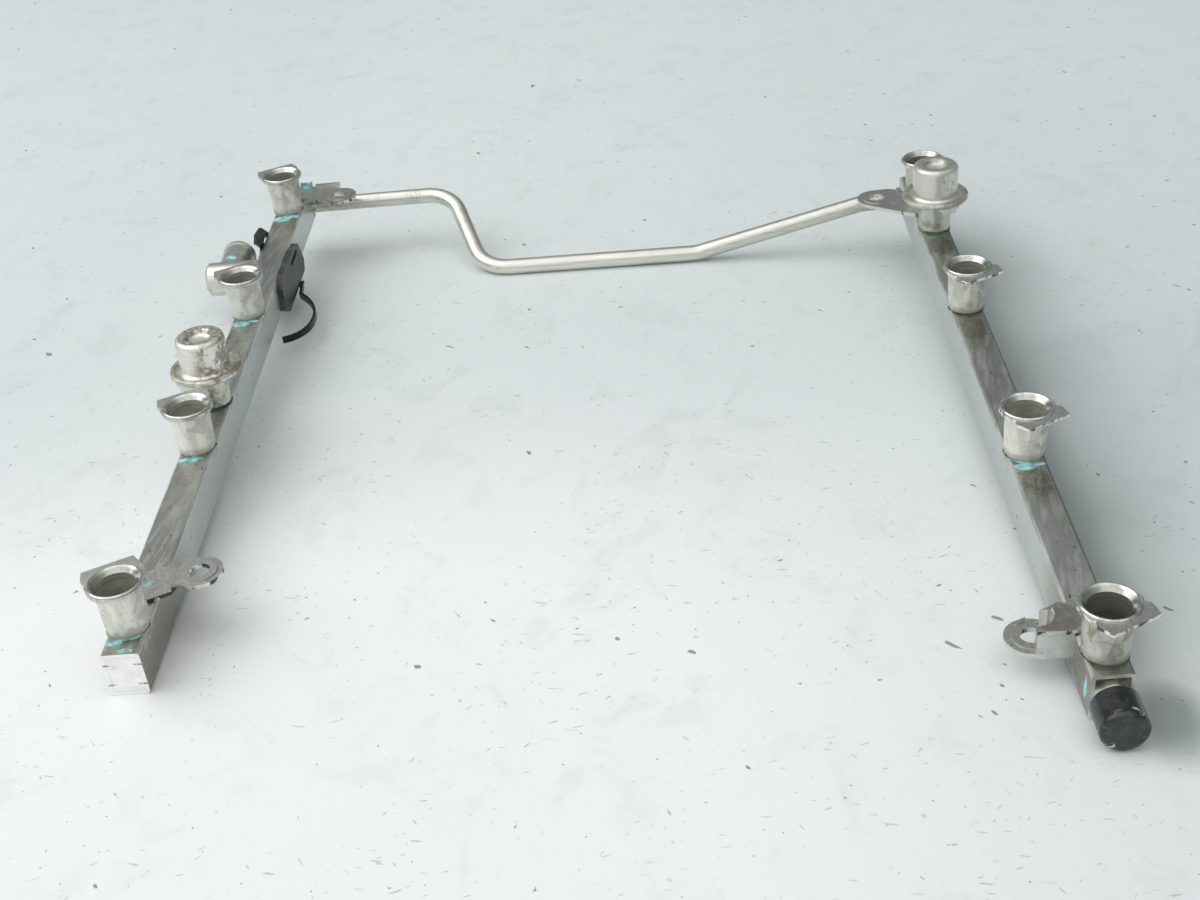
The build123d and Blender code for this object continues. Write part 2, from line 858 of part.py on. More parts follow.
save("bracket_left_rear", rear_bracket(
    left_x, left_cup_ys[-1], left_rear_hole_y, 1, left_rear_hole_x,
    [(-4.0, 3.0), (4.5, -1.0), (17.2, -5.0), (24.9, -8.8), (24.9, 8.8), (20.0, 12.0),
     (7.0, 14.2), (-4.0, 14.2)],
    [([(3.0, 12.8), (9.2, 12.8), (9.2, 14.2), (3.0, 14.2)], 2.6),
     ([(10.8, 12.4), (20.4, 12.6), (23.6, 14.2), (10.8, 14.2)], 1.2)],
))
save("bracket_right_rear", rear_bracket(
    right_x, right_cup_ys[-1], right_rear_hole_y, -1, right_rear_hole_x,
    [(-4.0, -20.0), (6.8, -21.1), (27.6, -6.9), (21.9, 8.8), (14.8, 9.1), (9.4, 6.8), (8.6, 0.0),
     (6.0, -7.6), (-4.0, -9.4)],
    [([(8.7, 0.8), (9.6, 6.6), (11.4, 6.8), (10.2, 0.8)], 1.4)],
))
save("crossover_tube", crossover_tube())
save("side_port_body", side_port_body())
save("side_port_plug", side_port_plug())
save("service_nipple", service_nipple())
save("service_cap", service_cap())
save("harness_clip", harness_clip())
save("cable_tie", cable_tie())
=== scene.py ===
import json
import math

import bmesh
import bpy
from mathutils import Matrix, Vector, noise


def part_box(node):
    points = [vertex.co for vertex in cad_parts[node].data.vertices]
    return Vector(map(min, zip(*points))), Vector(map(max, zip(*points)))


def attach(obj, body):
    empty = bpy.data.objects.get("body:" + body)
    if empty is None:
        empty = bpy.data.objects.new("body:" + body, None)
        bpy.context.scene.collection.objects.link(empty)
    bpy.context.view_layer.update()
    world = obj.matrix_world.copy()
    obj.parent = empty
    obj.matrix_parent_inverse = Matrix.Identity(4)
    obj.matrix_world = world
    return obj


bl_info = {
    "name": "Fuel rail finishes",
    "version": (1, 0, 0),
    "blender": (4, 5, 0),
    "location": "View3D > Sidebar > Fuel rail",
    "description": "Gives a packed twin-bank fuel rail its steel, plastic and paint finishes, and a studio",
    "category": "Material",
}

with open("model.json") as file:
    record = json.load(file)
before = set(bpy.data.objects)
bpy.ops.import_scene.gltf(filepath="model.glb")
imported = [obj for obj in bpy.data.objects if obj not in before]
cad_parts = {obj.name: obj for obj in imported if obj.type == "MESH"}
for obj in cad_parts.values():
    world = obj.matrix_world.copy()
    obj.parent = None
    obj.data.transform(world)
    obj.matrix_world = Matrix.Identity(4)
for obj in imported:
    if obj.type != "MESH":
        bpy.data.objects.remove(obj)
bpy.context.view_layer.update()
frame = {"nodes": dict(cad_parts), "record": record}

MM = 0.001
SIDES = ("left", "right")
NUMBERS = (1, 2, 3, 4)
CUPS = [f"{side}_{number}" for side in SIDES for number in NUMBERS]
MOUNTS = {mount["name"]: Vector(mount["pos_m"]) for mount in frame["record"]["mounts"]}


def mm(x, y, z):
    """A vector given in millimetres."""
    return MM * Vector((x, y, z))


def middle(node):
    """Centre of a CAD node's box."""
    low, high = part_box(node)
    return (low + high) / 2


def axis_at(point):
    """Where an upright axis through a point meets the rails' top."""
    return Vector((point.x, point.y, RAIL_TOP))


RAIL = {side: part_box(f"rail_tube_{side}") for side in SIDES}
RAIL_TOP = RAIL["left"][1].z
RAIL_BASE = RAIL["left"][0].z
RAIL_HALF_WIDTH = (RAIL["left"][1].x - RAIL["left"][0].x) / 2
RAIL_HALF_HEIGHT = (RAIL_TOP - RAIL_BASE) / 2
CUP_AXES = {cup: axis_at(MOUNTS[f"injector_seat_{cup}"]) for cup in CUPS}
DAMPER_AXES = {side: axis_at(middle(f"damper_{side}")) for side in SIDES}
DATUM = (CUP_AXES["left_1"] + CUP_AXES["right_1"]) / 2
DATUM.x = (middle("rail_tube_left").x + middle("rail_tube_right").x) / 2
DATUM.z = RAIL_BASE

# Sizes of the pieces, as the CAD has them
CUP_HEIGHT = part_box("injector_cup_left_1")[1].z - RAIL_TOP
CUP_FOOT_RADIUS = 6.4 * MM
BORE_RADIUS = 6.8 * MM
MOUTH_DEPTH = 1.9 * MM
LIP_RADIUS = 9.6 * MM
DAMPER_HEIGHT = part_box("damper_left")[1].z - RAIL_TOP
CAN_RADIUS = 10.1 * MM
SEAT_FOOT_RADIUS = (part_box("damper_seat_left")[1].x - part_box("damper_seat_left")[0].x) / 2 - 1.5 * MM
SHEET = 1.5 * MM
BOSS_HEIGHT = 0.4 * MM
BOSS_RADIUS = 6.4 * MM

# Wear and stains on the pieces, and the strength of painted sheen and shade, from 0 to 1
CUP_STAINS = {
    "left_1": 0.22, "left_2": 0.02, "left_3": 0.30, "left_4": 0.38,
    "right_1": 0.95, "right_2": 0.12, "right_3": 0.42, "right_4": 0.75,
}
TORN_FLANGES = {"left": 0.25, "right": 0.9}
# Strength of the painted reflection on each rail's upright faces
RAIL_SIDE_SHEEN = {"left": 0.78, "right": 0.84}
RAIL_SMUDGES = {"left": 0.34, "right": 0.62}
# Damper stains, together with the painted shade on the right-hand side
DAMPER_STAINS_AND_SHADE = {"left": 0.80, "right": 0.35}
# Damper wear, together with the painted shade in the dish
DAMPER_WEAR_AND_DISH_SHADE = {"left": 0.05, "right": 0.45}

# Where the inspection paint was dabbed, as offsets in millimetres from a cup's foot and as radii
CUP_DABS = {
    "left_1": [((-3.4, -8.2, 0.0), (3.2, 1.7, 1.5)), ((1.6, -12.9, 0.0), (3.0, 1.5, 1.6))],
    "left_2": [((-2.2, -9.2, 0.0), (4.4, 2.2, 1.3)), ((1.8, -7.9, 0.0), (2.6, 1.2, 1.3))],
    "left_3": [((-2.0, -9.7, 0.0), (4.2, 2.7, 1.3)), ((3.6, -7.6, 0.0), (3.2, 1.3, 1.3))],
    "left_4": [((-1.8, -10.6, 0.0), (5.4, 3.2, 1.5)), ((3.8, -8.4, 0.0), (4.0, 2.1, 1.5))],
    "right_2": [((-1.6, -9.4, 0.0), (4.6, 2.5, 1.3)), ((3.0, -8.2, 0.0), (3.2, 1.3, 1.3))],
}

# Where the braze beads are painted: the heading of the paint's middle and half its spread, in degrees
PALE_SECTORS = {"left_1": (-70.0, 75.0), "left_2": (-80.0, 35.0), "left_3": (-60.0, 75.0),
                "left_4": (-80.0, 80.0), "right_2": (-95.0, 55.0)}
DARK_SECTOR = (-90.0, 60.0)
DAMPER_SECTOR = (-80.0, 70.0)

# Each damper's paint dot, in millimetres from its foot
DAMPER_DOTS = {"left": (-12.9, -2.4, 17.6), "right": (-12.5, 3.4, 17.6)}

# Studio, in metres
KEY_PLACE = (-1.15, 0.15, 1.2)
KEY_AIM = (0.0, -0.1, 0.0)
SKY_AXIS = (-0.25, -0.35, 0.90)
SKY_LOWEST = (0.132, 0.15, 0.152, 1.0)
SKY_HIGHEST = (0.78, 0.78, 0.78, 1.0)
SKY_GREYS = ((0.30, 0.20), (0.57, 0.32), (0.72, 0.62))


# Shader maths

class Wire:
    """A socket of a finish's node tree. Arithmetic on it adds Math nodes."""

    def __init__(self, finish, socket):
        self.finish = finish
        self.socket = socket

    def maths(self, operation, first, second=0.0):
        """One Math node."""
        return self.finish.node("ShaderNodeMath", {"operation": operation}, {0: first, 1: second})

    def __add__(self, other):
        return self.maths("ADD", self, other)

    def __radd__(self, other):
        return self.maths("ADD", other, self)

    def __sub__(self, other):
        return self.maths("SUBTRACT", self, other)

    def __rsub__(self, other):
        return self.maths("SUBTRACT", other, self)

    def __mul__(self, other):
        return self.maths("MULTIPLY", self, other)

    def __rmul__(self, other):
        return self.maths("MULTIPLY", other, self)

    def __truediv__(self, other):
        return self.maths("DIVIDE", self, other)

    def __abs__(self):
        return self.maths("ABSOLUTE", self)

    def most(self, other):
        """The higher of two values."""
        return self.maths("MAXIMUM", self, other)


class Finish:
    """A material under way: its node tree and its Principled shader."""

    def __init__(self, name):
        self.material = bpy.data.materials.new(name)
        self.material.use_nodes = True
        self.tree = self.material.node_tree
        self.tree.nodes.clear()
        output = self.tree.nodes.new("ShaderNodeOutputMaterial")
        self.shader = self.tree.nodes.new("ShaderNodeBsdfPrincipled")
        self.tree.links.new(self.shader.outputs[0], output.inputs[0])

    def node(self, kind, settings=None, sockets=None, out=0):
        """Add a node: its settings first, then the values or wires of its sockets."""
        made = self.tree.nodes.new(kind)
        for name, value in (settings or {}).items():
            setattr(made, name, value)
        for name, value in (sockets or {}).items():
            self.feed(made.inputs[name], value)
        return Wire(self, made.outputs[out])

    def feed(self, socket, value):
        """Link a wire to a socket, or set the socket's own value. A colour gets full alpha."""
        if isinstance(value, Wire):
            self.tree.links.new(value.socket, socket)
        elif socket.type == "RGBA":
            socket.default_value = (*value[:3], 1.0)
        else:
            socket.default_value = value

    def place(self):
        """Position on the part, in metres."""
        return self.node("ShaderNodeTexCoord", out=3)

    def facing(self):
        """The three numbers of the surface normal."""
        return self.parts(self.node("ShaderNodeNewGeometry", out=1))

    def vector(self, operation, first, second):
        """One Vector Math node with a vector result."""
        return self.node("ShaderNodeVectorMath", {"operation": operation}, {0: first, 1: second})

    def measured(self, place, point):
        """Position measured from a point."""
        return self.vector("SUBTRACT", place, tuple(point))

    def length(self, value):
        """Length of a vector."""
        return self.node("ShaderNodeVectorMath", {"operation": "LENGTH"}, {0: value}, out=1)

    def radius(self, x, y):
        """Distance from the upright axis."""
        return self.length(self.joined(x, y, 0.0))

    def ellipse(self, place, centre, radii):
        """Distance from a centre, which is 1 at the given radii."""
        return self.length(self.vector("DIVIDE", self.measured(place, centre), tuple(radii)))

    def parts(self, value):
        """The three numbers of a vector."""
        split = self.node("ShaderNodeSeparateXYZ", None, {0: value})
        return [Wire(self, socket) for socket in split.socket.node.outputs]

    def joined(self, x, y, z):
        """A vector from three numbers."""
        return self.node("ShaderNodeCombineXYZ", None, {0: x, 1: y, 2: z})

    def cloud(self, place, scale, detail=3.0, rough=0.55, warp=0.0):
        """Noise between 0 and 1. The scale is one number or one for each axis, per metre."""
        if not isinstance(scale, (int, float)):
            place = self.vector("MULTIPLY", place, scale)
            scale = 1.0
        return self.node("ShaderNodeTexNoise", {"noise_dimensions": "3D"}, {
            "Vector": place, "Scale": scale, "Detail": detail, "Roughness": rough, "Distortion": warp,
        })

    def step(self, value, low, high):
        """Smooth step: 0 at low and 1 at high, or the other way round if low is above high."""
        if low > high:
            return 1.0 - self.step(value, high, low)
        return self.node("ShaderNodeMapRange", {"interpolation_type": "SMOOTHSTEP"},
                         {"Value": value, "From Min": low, "From Max": high})

    def mix(self, amount, first, second):
        """Colour from first to second."""
        return self.node("ShaderNodeMix", {"data_type": "RGBA"}, {0: amount, 6: first, 7: second}, out=2)

    def coats(self, base, *coats):
        """Colour under several coats, laid on in order. Each coat is an amount and a colour."""
        for amount, shade in coats:
            base = self.mix(amount, base, shade)
        return base

    def blend(self, amount, first, second):
        """Number from first to second."""
        return self.node("ShaderNodeMix", {"data_type": "FLOAT"}, {0: amount, 2: first, 3: second})

    def turned(self, place, degrees):
        """Position turned about Z."""
        return self.node("ShaderNodeMapping", None, {
            "Vector": place, "Rotation": (0.0, 0.0, math.radians(degrees)),
        })

    def bump(self, height, distance):
        """Normal from a height between 0 and 1, whose full range is distance metres."""
        return self.node("ShaderNodeBump", None, {"Height": height, "Distance": distance, "Strength": 1.0})

    def wear(self, base, roughness, height, relief, metal=1.0):
        """Feed the shader and return the finished material."""
        self.feed(self.shader.inputs["Base Color"], base)
        self.feed(self.shader.inputs["Roughness"], roughness)
        self.feed(self.shader.inputs["Metallic"], metal)
        self.feed(self.shader.inputs["Normal"], self.bump(height, relief))
        return self.material


def blot(finish, place, centre, radii, rag=0.45):
    """Mask of a hand-dabbed mark: an ellipsoid with a ragged edge."""
    reach = finish.ellipse(place, centre, radii) + rag * (finish.cloud(place, 450.0, 2.0) - 0.5)
    return finish.step(reach, 1.0, 0.8)


def scratches(finish, place, across, along, share, headings):
    """Mask of thin short scratches along several headings in degrees. The share sets how many.

    Across and along are the noise scales of one scratch. Along is one number, or one for each heading."""
    alongs = along if isinstance(along, tuple) else (along,) * len(headings)
    marks = []
    for degrees, long_side in zip(headings, alongs):
        lines = finish.cloud(finish.turned(place, degrees), (across, long_side, across), 1.0, 0.4)
        marks.append(finish.step(lines, 0.76 - share, 0.80 - share))
    return masks(marks)


def masks(marks):
    """Where any of several masks lies."""
    whole = marks[0]
    for mark in marks[1:]:
        whole = whole.most(mark)
    return whole


def dabs(finish, place, marks):
    """Mask of several dabs of paint together."""
    return masks([blot(finish, place, centre, radii) for centre, radii in marks])


def painted(finish, mask, paint, base, rough, metal=1.0):
    """Colour, roughness and metal with a coat of paint where the mask is."""
    shade = finish.cloud(finish.place(), 260.0, 3.0)
    dark = tuple(0.45 * part for part in paint[:3])
    coat = finish.mix(finish.step(shade, 0.60, 0.38), paint, dark)
    return finish.mix(mask, base, coat), finish.blend(mask, rough, 0.42), metal * (1.0 - mask)


def rail_marks(side):
    """Paint dabs on one rail tube, as places and radii in metres."""
    marks = [(CUP_AXES[cup] + mm(*offset), mm(*radii))
             for cup, places in CUP_DABS.items() if cup.startswith(side) for offset, radii in places]
    low, high = RAIL[side]
    if side == "right":
        marks.append((low + mm(0.0, 5.0, 8.5), mm(1.5, 1.7, 5.0)))
    else:
        exit_y = middle("bracket_left_rear").y + 11.0 * MM
        marks.append((low + mm(0.0, 4.0, 8.0), mm(1.5, 1.8, 4.4)))
        marks.append((Vector((high.x, exit_y, RAIL_BASE + 4.0 * MM)), mm(1.4, 2.6, 3.4)))
    return marks


# Finishes

def rail_steel(side, look):
    """Square steel tube: drawn along its length, rubbed, smudged in front of each brazed foot; its upright
    faces carry a painted reflection, its top edges a painted highlight as well as rubbed wear, and its bottom
    edges painted shade.
    """
    finish = Finish(f"rail_steel_{side}")
    place = finish.place()
    across, along, up = finish.parts(finish.measured(place, middle(f"rail_tube_{side}")))
    patches = finish.step(finish.cloud(place, (70.0, 15.0, 70.0), 4.0, 0.6, 0.3), 0.36, 0.64)
    grain = finish.cloud(place, (2300.0, 22.0, 2300.0), 3.0, 0.6)
    drawn = finish.cloud(finish.turned(place, 9.0), (330.0, 42.0, 330.0), 4.0, 0.6)
    smears = finish.step(drawn, 0.44, 0.66)
    mottle = finish.cloud(place, 430.0, 4.0, 0.65)
    lines = scratches(finish, place, 1700.0, (30.0, 90.0, 120.0), 0.07, (2.0, 16.0, -20.0))
    pits = finish.step(finish.cloud(place, (620.0, 240.0, 620.0), 2.0, 0.5), 0.69, 0.73)
    feet = [CUP_AXES[f"{side}_{number}"] for number in NUMBERS] + [DAMPER_AXES[side]]
    smudge = masks([blot(finish, place, foot - mm(0.0, 19.0, 0.0), mm(6.0, 10.0, 9.0), 1.1) for foot in feet])
    heated = masks([blot(finish, place, foot, mm(9.6, 9.8, 5.0), 0.8) for foot in feet])
    flank, brim = [finish.step(abs(value), half - 1.3 * MM, half - 0.5 * MM)
                   for value, half in ((across, RAIL_HALF_WIDTH), (up, RAIL_HALF_HEIGHT))]
    rubbed = finish.step(finish.cloud(place, (420.0, 55.0, 420.0), 3.0, 0.6), 0.40, 0.60)
    outward, lengthwise = finish.facing()[:2]
    cut_end = finish.step(abs(lengthwise), 0.75, 0.92)
    side_face = finish.step(abs(outward), 0.80, 0.95)
    # Side faces darker brown over their front end, in blotches
    darker_front_sides = side_face * finish.step(along, -0.115, -0.150) * finish.step(mottle + patches, 0.3, 0.9)
    corner = flank * brim
    # Bright top edges: rubbed wear and a painted highlight. The right rail keeps them only on its inner side;
    # its outer top edge and all bottom edges get painted shade instead.
    bright_upper_edge = corner * finish.step(up, -1.0 * MM, 1.0 * MM)
    if side == "right":
        bright_upper_edge = bright_upper_edge * finish.step(across, 1.0 * MM, -1.0 * MM)

    base = finish.mix(0.12 + 0.85 * patches, look.steel_dark, look.steel_mid)
    base = finish.coats(
        base,
        (0.42 * smears, look.steel_light),
        # Painted reflection: the upright faces painted paler, for the bright floor that they reflect
        (side_face * (RAIL_SIDE_SHEEN[side] - 0.4 * patches), look.side_painted_sheen),
        (0.30 * grain, look.steel_dark),
        (0.7 * darker_front_sides, look.stain),
        (RAIL_SMUDGES[side] * smudge * finish.step(mottle, 0.3, 0.55), look.stain),
        (0.55 * heated * finish.step(mottle, 0.36, 0.56), look.heat_brown),
        (0.35 * lines, look.steel_light),
        (0.75 * pits, look.fleck_and_edge_shade),
        # Painted highlight with rubbed wear on the top edges, then painted shade on the other edges
        (0.9 * bright_upper_edge * (0.35 + 0.65 * rubbed), look.bright),
        (0.75 * (corner - bright_upper_edge), look.fleck_and_edge_shade),
        (cut_end * (0.85 + 0.15 * mottle), look.plug_pale),
    )
    rough = 0.25 + 0.13 * grain + 0.12 * mottle + 0.10 * smears
    rough = finish.blend(cut_end, rough, 0.5)
    base, rough, metal = painted(finish, dabs(finish, place, rail_marks(side)), look.paint, base, rough,
                                 1.0 - 0.25 * side_face)
    height = 0.45 * grain + 0.30 * smears + 0.35 * mottle - 0.5 * lines
    return finish.wear(base, rough, height, 0.06 * MM, metal)


def plug_steel(name, pale, dirt, look):
    """Blanked plate in a rail's end: matt and rubbed, pale or browned."""
    finish = Finish(name)
    place = finish.place()
    mottle = finish.cloud(place, 520.0, 4.0, 0.6)
    smear = finish.step(finish.cloud(place, (130.0, 130.0, 260.0), 3.0, 0.6), 0.4, 0.62)
    spots = finish.step(mottle, 0.58 - 0.3 * dirt, 0.72 - 0.2 * dirt)
    base = finish.coats(pale, (0.16 * smear, look.steel_mid), (dirt * spots, look.fleck_and_edge_shade))
    return finish.wear(base, 0.52 + 0.16 * mottle, 0.6 * mottle + 0.4 * smear, 0.04 * MM)


def cup_varnish(finish, shift, rings, stained, look):
    """Colour of the varnish in a cup's bore: pale runs and dark ring marks."""
    drip = finish.cloud(shift, (160.0, 160.0, 330.0), 3.0)
    return finish.coats(
        look.bore_brown,
        (finish.step(drip + 0.6 * (rings - 0.5), 0.4, 0.6), look.bore_pale),
        (0.5 * finish.step(rings, 0.48, 0.60), look.bore_dark),
        (0.75 * stained, look.bore_dark),
    )


def cup_steel(cup, look):
    """Deep-drawn cup: pale mottled wall with painted shade down its right-hand side, torn flange edge, bright
    rolled mouth and a varnished bore.
    """
    axis = CUP_AXES[cup]
    stained = CUP_STAINS[cup]
    ragged = TORN_FLANGES[cup.split("_")[0]]
    finish = Finish(f"cup_steel_{cup}")
    local = finish.measured(finish.place(), axis)
    x, y, z = finish.parts(local)
    radius = finish.radius(x, y)
    shift = finish.vector("ADD", local, (0.37 * axis.y, 0.21 * axis.x, axis.y))
    streaks = finish.cloud(shift, (420.0, 420.0, 70.0), 3.0, 0.6)
    mottle = finish.cloud(shift, 640.0, 4.0, 0.65)
    patches = finish.step(finish.cloud(shift, 150.0, 4.0, 0.62, 0.4), 0.44, 0.66)
    specks = finish.step(finish.cloud(shift, 900.0, 2.0, 0.5), 0.68, 0.72)
    rings = finish.cloud(finish.joined(0.06 * x, 0.06 * y, z), (1.0, 1.0, 850.0), 3.0, 0.6)

    shelf = CUP_HEIGHT - MOUTH_DEPTH
    mouth = finish.step(z, shelf - 0.2 * MM, shelf + 0.2 * MM)
    mouth = mouth * finish.step(radius, LIP_RADIUS + 0.1 * MM, LIP_RADIUS - 0.2 * MM)
    brow = finish.step(z, CUP_HEIGHT - 0.7 * MM, CUP_HEIGHT - 0.3 * MM)
    bore = finish.step(radius, BORE_RADIUS + 0.2 * MM, BORE_RADIUS + 0.1 * MM)
    bore = bore * finish.step(z, shelf + 0.1 * MM, shelf - 0.4 * MM)
    rim = finish.step(radius, LIP_RADIUS - 0.3 * MM, LIP_RADIUS)
    rim = rim * finish.step(z, shelf - 1.5 * MM, shelf - 0.5 * MM)
    torn = rim * finish.step(abs(finish.facing()[2]), 0.7, 0.4)
    nicked = finish.step(finish.cloud(shift, 190.0, 4.0, 0.7, 0.6), 0.40, 0.50)
    # Painted shade: the right-hand side of each cup, away from the lamp
    shaded_side = finish.step(x - 0.35 * y + 6.0 * MM * (patches - 0.5), 2.0 * MM, 7.5 * MM)
    foot = finish.step(z + 5.0 * MM * (patches - 0.5) * mottle, 3.2 * MM, 0.8 * MM)
    satin = finish.step(z, shelf - 1.1 * MM, shelf - 2.1 * MM)

    edge = finish.mix(0.75 * finish.step(mottle, 0.35, 0.65), look.steel_mid, look.steel_dark)
    lip = finish.coats(
        look.steel_mid,
        (brow, look.steel_light),
        (0.45 * finish.step(streaks, 0.46, 0.60) + 0.25 * stained, look.steel_dark),
    )
    base = finish.coats(
        look.cup_dull,
        (0.3 + 0.7 * finish.step(streaks, 0.35, 0.62), look.cup_pale),
        ((0.30 + 0.25 * stained) * patches * finish.step(mottle, 0.35, 0.6), look.steel_mid),
        (0.45 * stained, look.steel_dark),
        (stained * patches * finish.step(streaks, 0.42, 0.56), look.heat_brown),
        ((0.52 + 0.15 * stained) * shaded_side, look.steel_dark),
        (0.55 * foot, look.heat_brown),
        (0.5 * specks, look.fleck_and_edge_shade),
        (0.85 * rim, edge),
        (ragged * torn, finish.mix(nicked, look.fleck_and_edge_shade, look.bright)),
        (mouth, lip),
        (bore, cup_varnish(finish, shift, rings, stained, look)),
    )
    rough = 0.38 + 0.12 * mottle + 0.10 * patches + 0.15 * foot
    rough = finish.blend(mouth, rough, 0.15 + 0.10 * mottle)
    rough = finish.blend(bore, rough, 0.36 + 0.14 * rings)
    metal = 1.0 - 0.5 * bore - (0.64 - 0.50 * stained) * satin * (1.0 - bore)
    height = 0.3 * streaks + 0.3 * mottle + 0.3 * patches + 0.35 * bore * rings + 0.8 * torn * mottle
    return finish.wear(base, rough, height, 0.08 * MM, metal)


def damper_steel(side, look):
    """Crimped can: turned rings, bright rolled edges, brown stains, painted shade on its right-hand side and
    round its dish, and one yellow dot.
    """
    axis = DAMPER_AXES[side]
    wear_and_dish_shade = DAMPER_WEAR_AND_DISH_SHADE[side]
    finish = Finish(f"damper_steel_{side}")
    place = finish.place()
    local = finish.measured(place, axis)
    x, y, z = finish.parts(local)
    radius = finish.radius(x, y)
    shift = finish.vector("ADD", local, (0.1 * axis.y, 0.3 * axis.x, axis.y))
    rings = finish.cloud(finish.joined(radius, 0.0, z), (1500.0, 1.0, 1500.0), 3.0, 0.6)
    mottle = finish.cloud(shift, 520.0, 4.0, 0.65)
    patches = finish.cloud(shift, (120.0, 120.0, 70.0), 4.0, 0.62, 0.5)
    nicks = scratches(finish, shift, 1300.0, 110.0, 0.1, (25.0, -40.0))
    dish = finish.step(z, DAMPER_HEIGHT - 1.8 * MM, DAMPER_HEIGHT - 1.2 * MM)
    dish = dish * finish.step(radius, CAN_RADIUS - 0.9 * MM, CAN_RADIUS - 2.5 * MM)
    flange = finish.step(radius, CAN_RADIUS + 0.8 * MM, CAN_RADIUS + 1.3 * MM)
    # Painted shade down the right-hand side, laid in the stain colour below
    shaded_side = finish.step(x - 0.3 * y + 8.0 * MM * (patches - 0.5), 1.0 * MM, 6.0 * MM)
    stain = finish.step(patches, 0.46, 0.60) * finish.step(mottle, 0.34, 0.56)
    # The stain mask also carries the painted shade on the right-hand side
    stain = 0.07 * stain + 0.85 * shaded_side * finish.step(mottle + patches, 0.94, 1.10)
    stain = stain.most(dish * finish.step(mottle, 0.46, 0.56))
    base = finish.coats(
        look.cup_dull,
        (0.4 + 0.6 * finish.step(rings, 0.3, 0.7), look.cup_pale),
        (wear_and_dish_shade * (0.6 + 0.4 * finish.step(rings, 0.4, 0.6)), look.steel_mid),
        # Painted shade: the outer ring of the dish, round its sloping wall
        ((0.25 + 0.5 * wear_and_dish_shade) * dish * finish.step(radius, 3.5 * MM, 5.0 * MM), look.steel_dark),
        (0.35 * flange, look.steel_mid),
        (DAMPER_STAINS_AND_SHADE[side] * stain, look.stain),
        (0.5 * flange * finish.step(patches, 0.42, 0.56), look.heat_brown),
        (0.15 * nicks, look.fleck_and_edge_shade),
    )
    rough = 0.23 + 0.12 * rings + 0.06 * mottle + 0.22 * stain
    dot = blot(finish, place, axis + mm(*DAMPER_DOTS[side]), mm(1.2, 1.4, 1.6), 0.3)
    base, rough, metal = painted(finish, dot, look.dot_yellow, base, rough, 0.78)
    height = 0.5 * rings + 0.15 * mottle + 0.3 * patches - 0.4 * nicks
    return finish.wear(base, rough, height, 0.05 * MM, metal)


def bracket_steel(name, hole, edges, marks, browned, look):
    """Stamped sheet: rolled finish with brown tints, upright faces painted lighter as a painted reflection, a
    matt ring round its hole, torn cut edges.

    Each edge is a low and a high level, the furthest right that the cut is seen, and how dark it is; the
    darkness is torn metal and, on the left front plate's edge, also painted shade under the plate."""
    finish = Finish(name)
    place = finish.place()
    x, z = finish.parts(place)[::2]
    steep = finish.step(abs(finish.facing()[2]), 0.75, 0.35)
    mottle = finish.cloud(place, 600.0, 4.0, 0.65)
    patches = finish.step(finish.cloud(place, 140.0, 4.0, 0.6, 0.5), 0.46, 0.64)
    flaws = finish.cloud(place, (260.0, 260.0, 200.0), 4.0, 0.65, 0.4)
    nicks = scratches(finish, place, 1300.0, 70.0, 0.1, (60.0, -25.0))
    base = finish.coats(
        look.steel_dark,
        (finish.step(mottle, 0.3, 0.7), look.steel_light),
        (0.5, look.steel_mid),
        (0.4 * patches * finish.step(mottle, 0.38, 0.6), look.stain),
        # Painted reflection: upright faces painted lighter
        (steep * (0.8 - 0.3 * patches), look.steel_light),
        (0.3 * nicks, look.bright),
    )
    if browned:
        brown = dabs(finish, place, browned)
        base = finish.mix(0.6 * brown * finish.step(mottle, 0.2, 0.6), base, look.stain)
    rough = 0.28 + 0.16 * mottle + 0.14 * patches
    grit = 0.0
    if hole:
        reach = finish.radius(*finish.parts(finish.measured(place, hole))[:2])
        ring = finish.step(reach, BOSS_RADIUS + 0.5 * MM, BOSS_RADIUS + 0.1 * MM) * (1.0 - steep)
        knurl = finish.step(finish.cloud(place, 1500.0, 2.0, 0.6), 0.42, 0.58)
        base = finish.mix(0.85 * ring, base, finish.mix(knurl, look.steel_dark, look.steel_mid))
        rough = finish.blend(ring, rough, 0.44)
        grit = 0.5 * ring * knurl
    for low, high, limit, dark in edges:
        band = steep * finish.step(z, low - 0.1 * MM, low) * finish.step(z, high + 0.2 * MM, high)
        band = band * finish.step(x, limit + 0.4 * MM, limit)
        flecks = finish.step(flaws, 0.30 + 0.3 * dark, 0.38 + 0.3 * dark)
        cut = finish.mix(mottle, look.steel_mid, look.bright)
        base = finish.mix(band, base, finish.mix(flecks, look.fleck_and_edge_shade, cut))
        grit = grit + 0.8 * band * mottle
    metal = 1.0
    if marks:
        base, rough, metal = painted(finish, dabs(finish, place, marks), look.paint, base, rough)
    return finish.wear(base, rough, 0.5 * mottle + 0.3 * patches + grit, 0.09 * MM, metal)


